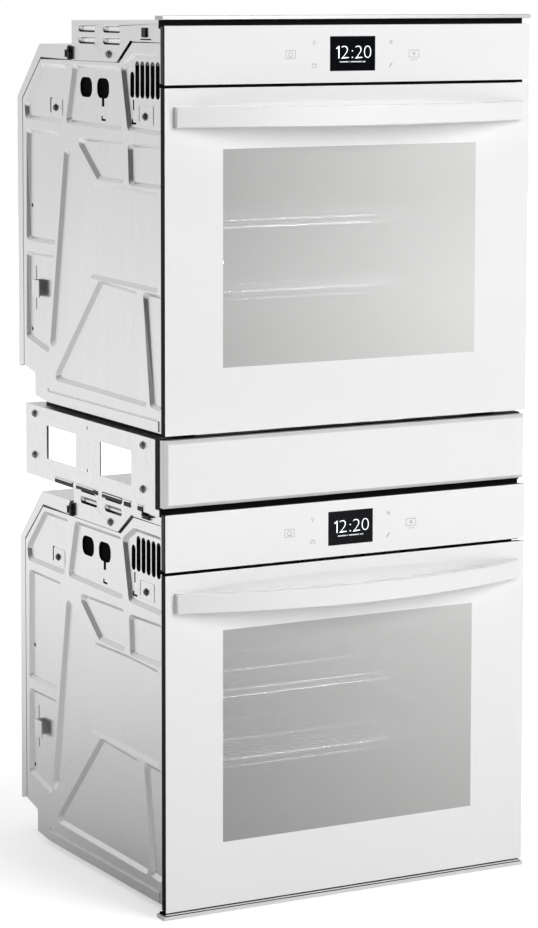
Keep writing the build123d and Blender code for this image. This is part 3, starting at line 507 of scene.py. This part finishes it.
def bevel(obj, width, angle=30):
    """Round the edges that turn by more than an angle in degrees."""
    modifier = obj.modifiers.new("edges", "BEVEL")
    modifier.width = width
    modifier.segments = 2
    modifier.limit_method = "ANGLE"
    modifier.angle_limit = math.radians(angle)
    modifier.harden_normals = False


def mesh_of(name, points, faces):
    """A mesh from its points and faces."""
    mesh = bpy.data.meshes.new(name)
    mesh.from_pydata(points, [], faces)
    mesh.update()
    return mesh


def prism(outline, front, back):
    """Closed mesh of an outline of X and Z, between two values of Y, all in metres."""
    count = len(outline)
    points = [(x, front, z) for x, z in outline] + [(x, back, z) for x, z in outline]
    faces = [tuple(range(count)), tuple(range(2 * count - 1, count - 1, -1))]
    for index in range(count):
        after = (index + 1) % count
        faces.append((index, index + count, after + count, after))
    return mesh_of("prism", points, faces)


def block_mesh(x, depth, height, oven):
    """Closed block between two values each of X, depth and height."""
    low, high = (place(x[end], depth[end], height[end], oven) for end in (0, 1))
    outline = [(low.x, low.z), (high.x, low.z), (high.x, high.z), (low.x, high.z)]
    return prism(outline, low.y, high.y)


def join_meshes(name, meshes):
    """One mesh from several."""
    joined = bmesh.new()
    for mesh in meshes:
        joined.from_mesh(mesh)
    made = bpy.data.meshes.new(name)
    joined.to_mesh(made)
    joined.free()
    return made


# ---------------------------------------------------------------- door glass

# Half width, foot and head of the window and of the opening for the screen
WINDOW_PLACE = (207.0, 95.0, 400.0)
SCREEN_PLACE = (37.0, 505.5, 554.5)
SHARP_TURN = 1.0  # radians
GROUND_EDGE = 0.0006
# Places of the finishes in a sheet's slots
WINDOW_FRONT_SLOT, EDGE_SLOT = 1, 3


def glass_sheet(oven, part, body, middle, opening):
    """A glass of the front: one sheet with dark ground edges, round a window or an opening."""
    half, foot, head = middle
    node = f"{oven}_{part}"
    low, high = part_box(node)
    columns = (low.x, -half * MM, half * MM, high.x)
    rows = (low.z, BASE[oven] + foot * MM, BASE[oven] + head * MM, high.z)
    sheet = bmesh.new()
    grid = {}
    for layer, y in enumerate((low.y, high.y)):
        for i, x in enumerate(columns):
            for j, z in enumerate(rows):
                grid[layer, i, j] = sheet.verts.new((x, y, z))
    cells = [(i, j) for i in range(3) for j in range(3) if not (opening and i == j == 1)]
    for i, j in cells:
        for layer in (0, 1):
            corners = [(i, j), (i + 1, j), (i + 1, j + 1), (i, j + 1)]
            if layer:
                corners.reverse()
            face = sheet.faces.new([grid[layer, a, b] for a, b in corners])
            if i == j == 1:
                face.material_index = WINDOW_FRONT_SLOT + layer
    rim = [(i, 0) for i in range(4)] + [(3, j) for j in (1, 2, 3)]
    rim += [(i, 3) for i in (2, 1, 0)] + [(0, j) for j in (2, 1)]
    loops = [rim]
    if opening:
        loops.append([(1, 1), (1, 2), (2, 2), (2, 1)])
    for loop in loops:
        for (a, b), (c, d) in zip(loop, loop[1:] + loop[:1]):
            side = sheet.faces.new([grid[0, a, b], grid[1, a, b], grid[1, c, d], grid[0, c, d]])
            side.material_index = EDGE_SLOT
    sharp = [
        edge
        for edge in sheet.edges
        if len(edge.link_faces) == 2 and edge.calc_face_angle() > SHARP_TURN
    ]
    bmesh.ops.bevel(
        sheet, geom=sharp, offset=GROUND_EDGE, segments=2, affect="EDGES", profile=0.5
    )
    name = f"{oven}_{part.split('_')[0]}_front_glass"
    mesh = bpy.data.meshes.new(name)
    sheet.to_mesh(mesh)
    sheet.free()
    finishes = (MATERIALS["white_glass"], WINDOW, WINDOW_BACK, GLASS_EDGE)
    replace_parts(piece(name, mesh, body, "white_glass", *finishes), node)


for oven in OVENS:
    glass_sheet(oven, "door_glass", f"{oven}_door", WINDOW_PLACE, opening=False)
    glass_sheet(oven, "control_glass", "chassis", SCREEN_PLACE, opening=True)


# ---------------------------------------------------------------- screen and touch symbols

# How far a symbol stands off the glass and reaches into it, in millimetres
PRINT_LIFT, PRINT_SINK = 0.12, 0.05


def flat_bar(x, z, oven, lift=PRINT_LIFT):
    """A thin rectangle on the front, from its limits in X and height."""
    return block_mesh(x, (-lift, PRINT_SINK), z, oven)


RING_SIDES = 24


def flat_ring(x, z, radius, width, oven, stretch=1.0):
    """A thin ring on the front, which may be stretched along X."""
    bore = radius - width
    section = (
        (radius, -PRINT_LIFT), (radius, PRINT_SINK), (bore, PRINT_SINK), (bore, -PRINT_LIFT),
    )
    points, faces = [], []
    for k in range(RING_SIDES):
        turn = 2 * math.pi * k / RING_SIDES
        for r, depth in section:
            across = x + r * math.cos(turn) * stretch
            points.append(place(across, depth, z + r * math.sin(turn), oven))
    for k in range(RING_SIDES):
        a, b = 4 * k, 4 * ((k + 1) % RING_SIDES)
        for m in range(4):
            n = (m + 1) % 4
            faces.append((a + m, a + n, b + n, b + m))
    return mesh_of("ring", points, faces)


def frame_symbol(x, z, oven, line=0.7):
    """Outline of a rectangle, as four bars."""
    return [
        flat_bar(x, (z[0], z[0] + line), oven),
        flat_bar(x, (z[1] - line, z[1]), oven),
        flat_bar((x[0], x[0] + line), (z[0] + line, z[1] - line), oven),
        flat_bar((x[1] - line, x[1]), (z[0] + line, z[1] - line), oven),
    ]


def slanted_bar(start, end, width, oven):
    """A thin bar on the front between two points of X and height."""
    a, b = Vector(start), Vector(end)
    side = (b - a).normalized().orthogonal() * width / 2
    corners = [a + side, b + side, b - side, a - side]
    outline = [(place(c.x, 0, c.y, oven).x, place(c.x, 0, c.y, oven).z) for c in corners]
    return prism(outline, place(0, -PRINT_LIFT, 0).y, place(0, PRINT_SINK, 0).y)


def touch_symbols(oven):
    """Touch symbols each side of the screen."""
    # mode key: a framed ring over a line
    parts = frame_symbol((-108, -92.5), (523.5, 535.3), oven)
    parts.append(flat_ring(-100.2, 529.4, 3.6, 0.8, oven))
    parts.append(flat_bar((-103.4, -97.0), (525.3, 525.9), oven))
    # lamp
    parts.append(flat_ring(-62.6, 546.3, 2.2, 0.6, oven))
    parts.append(flat_bar((-63.8, -61.4), (542.3, 543.1), oven))
    # timer
    parts.append(flat_ring(-62.5, 513.6, 3.2, 0.7, oven, stretch=1.2))
    parts.append(flat_bar((-62.8, -62.2), (513.6, 515.8), oven))
    # lock
    parts += frame_symbol((60.8, 65.2), (543.0, 546.4), oven, 0.6)
    parts.append(flat_ring(63.0, 546.8, 1.8, 0.6, oven))
    # pencil
    parts.append(slanted_bar((60.8, 511.0), (65.0, 516.2), 1.5, oven))
    parts.append(slanted_bar((59.9, 509.9), (60.8, 511.0), 0.8, oven))
    # start key with its underline
    parts += frame_symbol((92.7, 109.7), (523.6, 534.3), oven)
    parts.append(flat_ring(101.2, 529.0, 2.3, 1.2, oven))
    parts.append(flat_bar((95.5, 107.0), (520.0, 520.6), oven))
    piece(f"{oven}_touch_symbols", join_meshes("symbols", parts), "chassis", "white_glass", PRINT)


CLOCK_FOOT, CLOCK_TALL, CLOCK_LIFT = 523.2, 17.6, 0.04
# The first character, a one: limits in X of its upright, and its slanted flag, whose ends are
# given by X and by the drop from the top
ONE_UPRIGHT = (-23.2, -21.6)
FLAG_START, FLAG_END, FLAG_WIDTH = (-26.6, 3.6), (-22.2, 0.7), 1.5
STROKE_OFFSET = -0.026
# The characters after it, with their limits in X
CLOCK = (
    ("2", -18.4, -6.4), (":", -1.5, 0.6), ("2", 4.2, 15.8), ("0", 18.6, 30.2),
)


def character_mesh(character):
    """A plain upright character, its strokes thinned a little."""
    curve = bpy.data.curves.new("clock", "FONT")
    curve.body = character
    curve.resolution_u = 6
    curve.extrude = 0.01
    curve.offset = STROKE_OFFSET
    text = bpy.data.objects.new("clock", curve)
    bpy.context.scene.collection.objects.link(text)
    shape = text.evaluated_get(bpy.context.evaluated_depsgraph_get())
    mesh = bpy.data.meshes.new_from_object(shape)
    bpy.data.objects.remove(text)
    return mesh


def clock_meshes(oven):
    """The clock reading, each character fitted to its place on the screen."""
    meshes = [character_mesh(character) for character, _, _ in CLOCK]
    tallest = max(v.co.y for mesh in meshes for v in mesh.vertices)
    for mesh, (_, start, end) in zip(meshes, CLOCK):
        left = min(v.co.x for v in mesh.vertices)
        right = max(v.co.x for v in mesh.vertices)
        for v in mesh.vertices:
            x = start + (v.co.x - left) / (right - left) * (end - start)
            depth = -CLOCK_LIFT if v.co.z > 0 else PRINT_SINK
            v.co = place(x, depth, CLOCK_FOOT + v.co.y / tallest * CLOCK_TALL, oven)
        mesh.update()
    top = CLOCK_FOOT + CLOCK_TALL
    meshes.append(flat_bar(ONE_UPRIGHT, (CLOCK_FOOT, top), oven, lift=CLOCK_LIFT))
    start, end = ((x, top - drop) for x, drop in (FLAG_START, FLAG_END))
    meshes.append(slanted_bar(start, end, FLAG_WIDTH, oven))
    return meshes


BARS_START, BARS_HEIGHT, BAR_GAP = -21.0, (517.6, 519.2), 1.6
BAR_WIDTHS = (14.0, 1.2, 17.0, 5.0)


def screen(oven):
    """A clock reading and a row of plain bars under it."""
    digits = join_meshes("digits", clock_meshes(oven))
    piece(f"{oven}_clock_digits", digits, "chassis", "display_black", GLOW)
    bars = []
    x = BARS_START
    for width in BAR_WIDTHS:
        bars.append(flat_bar((x, x + width), BARS_HEIGHT, oven, lift=CLOCK_LIFT))
        x += width + BAR_GAP
    piece(f"{oven}_screen_bars", join_meshes("bars", bars), "chassis", "display_black", GLOW_DIM)


for oven in OVENS:
    touch_symbols(oven)
    screen(oven)


# ---------------------------------------------------------------- louvres

LOUVRE_PLACES = ((288, 563), (206, 563), (288, 546), (206, 546))
LOUVRE_LENGTH, LOUVRE_HEIGHT, LOUVRE_SINK = 56.0, 10.5, 4.0
LOUVRE_CUT = 0.86  # part of its height where the scoop ends and the slot begins
LOUVRE_GRID = (28, 8)
SHEET = 0.0008  # thickness of the duct's steel


def louvre(side, depth, height, oven):
    """A lanced scoop: pressed in from its top edge and ends, and open along its lower edge."""
    face_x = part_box(f"{oven}_top_duct")[1].x / MM * side
    across, down = LOUVRE_GRID
    straight = 1 - LOUVRE_HEIGHT / LOUVRE_LENGTH
    points, faces = [], []
    for i in range(across + 1):
        along = 2.0 * i / across - 1.0
        past = max(0.0, abs(along) - straight) / (1 - straight)
        half = LOUVRE_HEIGHT / 2 * max(0.0, 1 - past**2) ** 0.5
        for j in range(down + 1):
            drop = j / down
            sink = LOUVRE_SINK * (1 - (1 - drop) ** 3) * (1 - past**3)
            z = height + half - 2 * half * LOUVRE_CUT * drop
            x = face_x - side * sink
            points.append(place(x, depth + along * LOUVRE_LENGTH / 2, z, oven))
    for i in range(across):
        for j in range(down):
            a = i * (down + 1) + j
            quad = (a, a + 1, a + down + 2, a + down + 1)
            faces.append(quad if side > 0 else quad[::-1])
    return mesh_of("louvre", points, faces)


for oven in OVENS:
    scoops = [louvre(side, d, h, oven) for side in (-1, 1) for d, h in LOUVRE_PLACES]
    made = piece(f"{oven}_duct_louvres", join_meshes("louvres", scoops), "chassis", "zinc_steel")
    thick = made.modifiers.new("sheet", "SOLIDIFY")
    thick.thickness = SHEET
    thick.offset = -1.0
    for polygon in made.data.polygons:
        polygon.use_smooth = True


# ---------------------------------------------------------------- screws

PAD_SCREWS = ((404.5, 444), (107.5, 442))
DUCT_SCREW = (215, 527)
BRACKET_SCREWS = ((99.6, 592.5), (99.6, 655.3), (467.3, 592.5), (467.3, 655.3))
# Outline of a screw head from its flange to its recess: radius and height above the sheet
HEAD_PROFILE = (
    (6.0, 0.0), (6.0, 0.7), (5.0, 1.3), (4.7, 1.6), (4.6, 3.0), (4.1, 3.7), (2.0, 3.9),
    (1.5, 3.8), (0.9, 2.4), (0.0, 2.2),
)
HEX_FROM, HEX_TO = 3, 5  # stretch of the profile that is hexagonal
HEAD_SIDES = 36


def screw_head(side, face_x, depth, height, oven):
    """A flanged hexagonal head, turned about X on a side plate."""
    points, faces = [], []
    for step, (radius, rise) in enumerate(HEAD_PROFILE):
        for k in range(HEAD_SIDES):
            turn = 2 * math.pi * k / HEAD_SIDES
            reach = radius
            if HEX_FROM <= step <= HEX_TO:
                sector = (turn % (math.pi / 3)) - math.pi / 6
                reach = radius * math.cos(math.pi / 6) / math.cos(sector)
            x = side * (face_x + rise)
            points.append(
                place(x, depth + reach * math.cos(turn), height + reach * math.sin(turn), oven)
            )
    for step in range(len(HEAD_PROFILE) - 1):
        for k in range(HEAD_SIDES):
            after = (k + 1) % HEAD_SIDES
            a, b = step * HEAD_SIDES, (step + 1) * HEAD_SIDES
            quad = (a + k, a + after, b + after, b + k)
            faces.append(quad[::-1] if side < 0 else quad)
    return mesh_of("screw", points, faces)


SIDE_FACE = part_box("lower_top_duct")[1].x / MM
BRACKET_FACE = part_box("centre_brackets")[1].x / MM - 2.0  # its bent tabs stand out 2 mm
PRESSED = 5.0  # depth of the pressed areas of the side panels

pad_heads = [
    screw_head(side, SIDE_FACE - PRESSED, d, h, oven)
    for oven in OVENS
    for side in (-1, 1)
    for d, h in PAD_SCREWS
]
plate_heads = [
    screw_head(side, SIDE_FACE, *DUCT_SCREW, oven) for oven in OVENS for side in (-1, 1)
]
plate_heads += [
    screw_head(side, BRACKET_FACE, d, h, "lower") for side in (-1, 1) for d, h in BRACKET_SCREWS
]
pad_mesh = join_meshes("pad_screws", pad_heads)
pad_screws = piece("pad_screw_heads", pad_mesh, "chassis", "zinc_steel", BLACK_ZINC)
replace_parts(pad_screws, "chassis_screws")
plate_mesh = join_meshes("plate_screws", plate_heads)
piece("plate_screw_heads", plate_mesh, "chassis", "zinc_steel", DARK_ZINC)


# ---------------------------------------------------------------- fittings on the sides


def mirrored(x):
    """The same stretch of X on the left and the right."""
    return ((-x[1], -x[0]), x)


def from_face(inner, outer, face=None):
    """Stretches of X on both sides, from a side's face outwards."""
    face = SIDE_FACE if face is None else face
    return mirrored((face + inner, face + outer))


def fitting(name, bars, slot, *materials, edge=0.0005):
    """Bars joined into a piece of the chassis, with rounded edges."""
    bevel(piece(name, join_meshes(name, bars), "chassis", slot, *materials), edge)


# Air shields behind the cooling slots, with upright ribs, near black so the slots read as the
# shade inside them: painted shade
SHIELD_X, SHIELD_DEPTH, SHIELD_HEIGHT = (268.6, 269.8), (36, 335), (400, 513)
RIB_COUNT, RIB_START, RIB_PITCH, RIB_WIDTH = 7, 60, 16, 3
RIB_RISE, RIB_HEIGHT = 0.9, (455, 490)
# Plastic clips at the front and at the back of the duct: depth and height of each bar
FRONT_CLIP = (((93, 106), (553, 566.5)), ((84, 109), (549.2, 551)))
REAR_CLIP = (((339, 354), (528, 531)), ((339, 346), (517, 536)), ((350, 354), (520, 531)))
HEM_DEPTH, HEM_HEIGHT = (58, 428), (1.5, 16.8)

for oven in OVENS:
    shields, clips = [], []
    for x in mirrored(SHIELD_X):
        shields.append(block_mesh(x, SHIELD_DEPTH, SHIELD_HEIGHT, oven))
        for rib in range(RIB_COUNT):
            start = RIB_START + RIB_PITCH * rib
            wider = (x[0] - RIB_RISE, x[1] + RIB_RISE)
            shields.append(block_mesh(wider, (start, start + RIB_WIDTH), RIB_HEIGHT, oven))
    fitting(f"{oven}_shade_black_shields", shields, "black_steel", PAINTED_SHADE_BLACK)
    for x in from_face(-0.2, 2.6):
        clips += [block_mesh(x, depth, height, oven) for depth, height in FRONT_CLIP]
    for x in from_face(-1.0, 5.0):
        clips += [block_mesh(x, depth, height, oven) for depth, height in REAR_CLIP]
    fitting(f"{oven}_duct_clips", clips, "black_plastic")
    hems = [block_mesh(x, HEM_DEPTH, HEM_HEIGHT, oven) for x in from_face(-0.2, 1.5)]
    fitting(f"{oven}_panel_hems", hems, "zinc_steel", edge=0.0012)

STRIP_X = (-296.5, 296.5)


def strip(depth, height, oven="lower"):
    """Strip across the oven in a gap of the front."""
    return block_mesh(STRIP_X, depth, height, oven)


# Black strips that close the gaps under the top trim, filler panel and control glasses, black for
# the shade in those gaps: painted shade
trim_gap = (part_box("top_trim")[0].z / MM, 1255.4)
shade_gap_strips = [strip((17.5, 20.9), trim_gap), strip((18.0, 21.5), (565, 574.8))]
shade_gap_strips += [strip((15.2, 17.2), (484.9, 491.5), oven) for oven in OVENS]
fitting("front_shade_gap_strips", shade_gap_strips, "black_steel")

# White lip above the bottom trim, white for the bright lit edge there: painted highlight. It sits
# before a black filler for the shade in the gaps: painted shade
fitting("bottom_trim_highlight_lip", [strip((0.8, 3.2), (-0.1, 1.3))], "white_paint", edge=0.0002)
filler = [strip((1.0, 3.2), (-1.5, -0.1)), strip((3.2, 22.5), (-1.5, 1.3))]
fitting("bottom_trim_shade_filler", filler, "black_plastic", PAINTED_SHADE_BLACK, edge=0.0002)
# The bottom trim takes the lighter copy of the aluminium: painted light.
frame["nodes"]["bottom_trim"].data.materials[0] = LIT_FOOT_STRIP

# Raised pads under the side panels' screws
PAD_DEPTHS, PAD_HEIGHT = ((83, 126), (382, 421)), (430.5, 457)
for oven in OVENS:
    pads = [
        block_mesh(x, depth, PAD_HEIGHT, oven)
        for x in from_face(-0.3, 0.7, SIDE_FACE - PRESSED)
        for depth in PAD_DEPTHS
    ]
    fitting(f"{oven}_screw_pads", pads, "zinc_steel", edge=0.0006)

# Black bars under the brackets for their bent tabs and the gaps beside them, black for the shade
# there: painted shade. Depth and height of each bar
TAB_SHADE_FOOT = 278.6
TAB_SHADE_BARS = (
    ((333, 395), (560.3, 566.8)),
    ((247, 321), (561.5, 567.8)),
    ((168, 233), (561.5, 569.5)),
    ((139, 161), (559.5, 565)),
    ((99, 117), (559.5, 565)),
    ((80, 104), (552.8, 555.5)),
    ((98, 104), (552.8, 560.0)),
)
tab_shade_bars = [
    block_mesh(x, depth, height, "lower")
    for x in mirrored((TAB_SHADE_FOOT, BRACKET_FACE + 0.9))
    for depth, height in TAB_SHADE_BARS
]
fitting("bracket_tab_shade_bars", tab_shade_bars, "black_plastic", edge=0.0008)


# ---------------------------------------------------------------- softened CAD edges

# Width of the rounding of each folded or pressed sheet
EDGE_WIDTHS = {
    "left_side_panel": 0.0016,
    "right_side_panel": 0.0016,
    "top_duct": 0.0006,
}


WELD_REACH = 0.00002
FOLD_ANGLE = 22  # smallest turn, in degrees, that counts as an edge


def soften(node_name, width):
    """Weld a node's mesh and round its edges, without touching the mesh itself."""
    node = frame["nodes"][node_name]
    weld = node.modifiers.new("weld", "WELD")
    weld.merge_threshold = WELD_REACH
    bevel(node, width, FOLD_ANGLE)


for oven in OVENS:
    for part, width in EDGE_WIDTHS.items():
        soften(f"{oven}_{part}", width)


# ---------------------------------------------------------------- studio

# Name, place, width and power of each lamp
LIGHTS = (
    ("key", (1.3, -4.2, 2.45), 2.5, 146.0),
    ("top", (0.0, 0.3, 4.2), 3.0, 40.0),
)
LIGHTS_AIM = (0.0, 0.0, 0.6)
CAVITY_POWER, CAVITY_LAMP = 0.85, (0.32, 0.02)
CAVITY_LAMP_PLACE = (-60, 46, 243)  # behind the window, left of its middle
BRIGHT_SIDE = (-0.24, 0.93, -0.28)  # direction in which the surroundings are brightest
DIM, BRIGHT = 0.08, 0.88
DIM_AT, BRIGHT_AT = -0.1, 0.85  # cosines of the angle to that direction
FLOOR_HALF = 12.0
FLOOR_CORNERS = ((-1, -1), (1, -1), (1, 1), (-1, 1))


def surroundings(tree):
    """White backdrop; as light, it is bright behind the object and dimmer before it."""
    coords = tree.nodes.new("ShaderNodeTexCoord")
    dot = tree.nodes.new("ShaderNodeVectorMath")
    dot.operation = "DOT_PRODUCT"
    dot.inputs[1].default_value = BRIGHT_SIDE
    tree.links.new(coords.outputs["Generated"], dot.inputs[0])
    level = tree.nodes.new("ShaderNodeMapRange")
    level.interpolation_type = "SMOOTHSTEP"
    level.inputs["From Min"].default_value = DIM_AT
    level.inputs["From Max"].default_value = BRIGHT_AT
    level.inputs["To Min"].default_value = DIM
    level.inputs["To Max"].default_value = BRIGHT
    tree.links.new(dot.outputs["Value"], level.inputs["Value"])
    light = tree.nodes["Background"]
    light.inputs["Color"].default_value = (1.0, 1.0, 1.0, 1.0)
    tree.links.new(level.outputs["Result"], light.inputs["Strength"])
    backdrop = tree.nodes.new("ShaderNodeBackground")
    backdrop.inputs["Color"].default_value = (1.0, 1.0, 1.0, 1.0)
    backdrop.inputs["Strength"].default_value = 1.0
    path = tree.nodes.new("ShaderNodeLightPath")
    mix = tree.nodes.new("ShaderNodeMixShader")
    tree.links.new(path.outputs["Is Camera Ray"], mix.inputs["Fac"])
    tree.links.new(light.outputs["Background"], mix.inputs[1])
    tree.links.new(backdrop.outputs["Background"], mix.inputs[2])
    tree.links.new(mix.outputs["Shader"], tree.nodes["World Output"].inputs["Surface"])


def lamp(name, spot, power):
    """A square or oblong lamp, out of the camera's sight."""
    data = bpy.data.lights.new(name, "AREA")
    data.energy = power
    made = bpy.data.objects.new(name, data)
    made.location = spot
    made.visible_camera = False
    bpy.context.scene.collection.objects.link(made)
    return made


def studio():
    """Pale floor, bright surroundings, a lamp in each cavity and two large soft lights."""
    low = cad_box[0][2]
    corners = [(x * FLOOR_HALF, y * FLOOR_HALF, low) for x, y in FLOOR_CORNERS]
    floor_mesh = bpy.data.meshes.new("floor")
    floor_mesh.from_pydata(corners, [], [(0, 1, 2, 3)])
    floor = bpy.data.objects.new("studio_floor", floor_mesh)
    floor_mesh.materials.append(floor_paint())
    bpy.context.scene.collection.objects.link(floor)

    world = bpy.data.worlds.new("studio")
    bpy.context.scene.world = world
    world.use_nodes = True
    surroundings(world.node_tree)

    for oven in OVENS:
        inside = lamp(f"{oven}_cavity", place(*CAVITY_LAMP_PLACE, oven), CAVITY_POWER)
        inside.data.shape = "RECTANGLE"
        inside.data.size, inside.data.size_y = CAVITY_LAMP
        inside.rotation_euler = (math.radians(90), 0, 0)

    target = Vector(LIGHTS_AIM)
    for name, spot, width, power in LIGHTS:
        large = lamp(name, spot, power)
        large.data.shape = "SQUARE"
        large.data.size = width
        large.rotation_euler = (target - large.location).to_track_quat("-Z", "Y").to_euler()


CAMERA_PLACE = (-2233.8, -3825.7, 1312.7)
CAMERA_YAW, CAMERA_DOWN, CAMERA_ROLL = 28.76, 5.949, 0.099  # degrees
LENS, SENSOR, SHIFT_UP = 121.35, 36.0, -0.1724


def camera():
    """Long lens from the front left, a little above the middle."""
    data = bpy.data.cameras.new("camera")
    data.lens = LENS
    data.sensor_width = SENSOR
    data.shift_y = SHIFT_UP
    data.clip_end = 50.0
    yaw, down = math.radians(CAMERA_YAW), math.radians(CAMERA_DOWN)
    forward = Vector(
        (math.sin(yaw) * math.cos(down), math.cos(yaw) * math.cos(down), -math.sin(down))
    )
    seen = bpy.data.objects.new("camera", data)
    seen.location = place(*CAMERA_PLACE)
    roll = Quaternion((0, 0, 1), math.radians(CAMERA_ROLL))
    turn = forward.to_track_quat("-Z", "Y") @ roll
    seen.rotation_euler = turn.to_euler()
    bpy.context.scene.collection.objects.link(seen)
    bpy.context.scene.camera = seen


studio()
camera()
bpy.context.scene.view_settings.view_transform = "Standard"
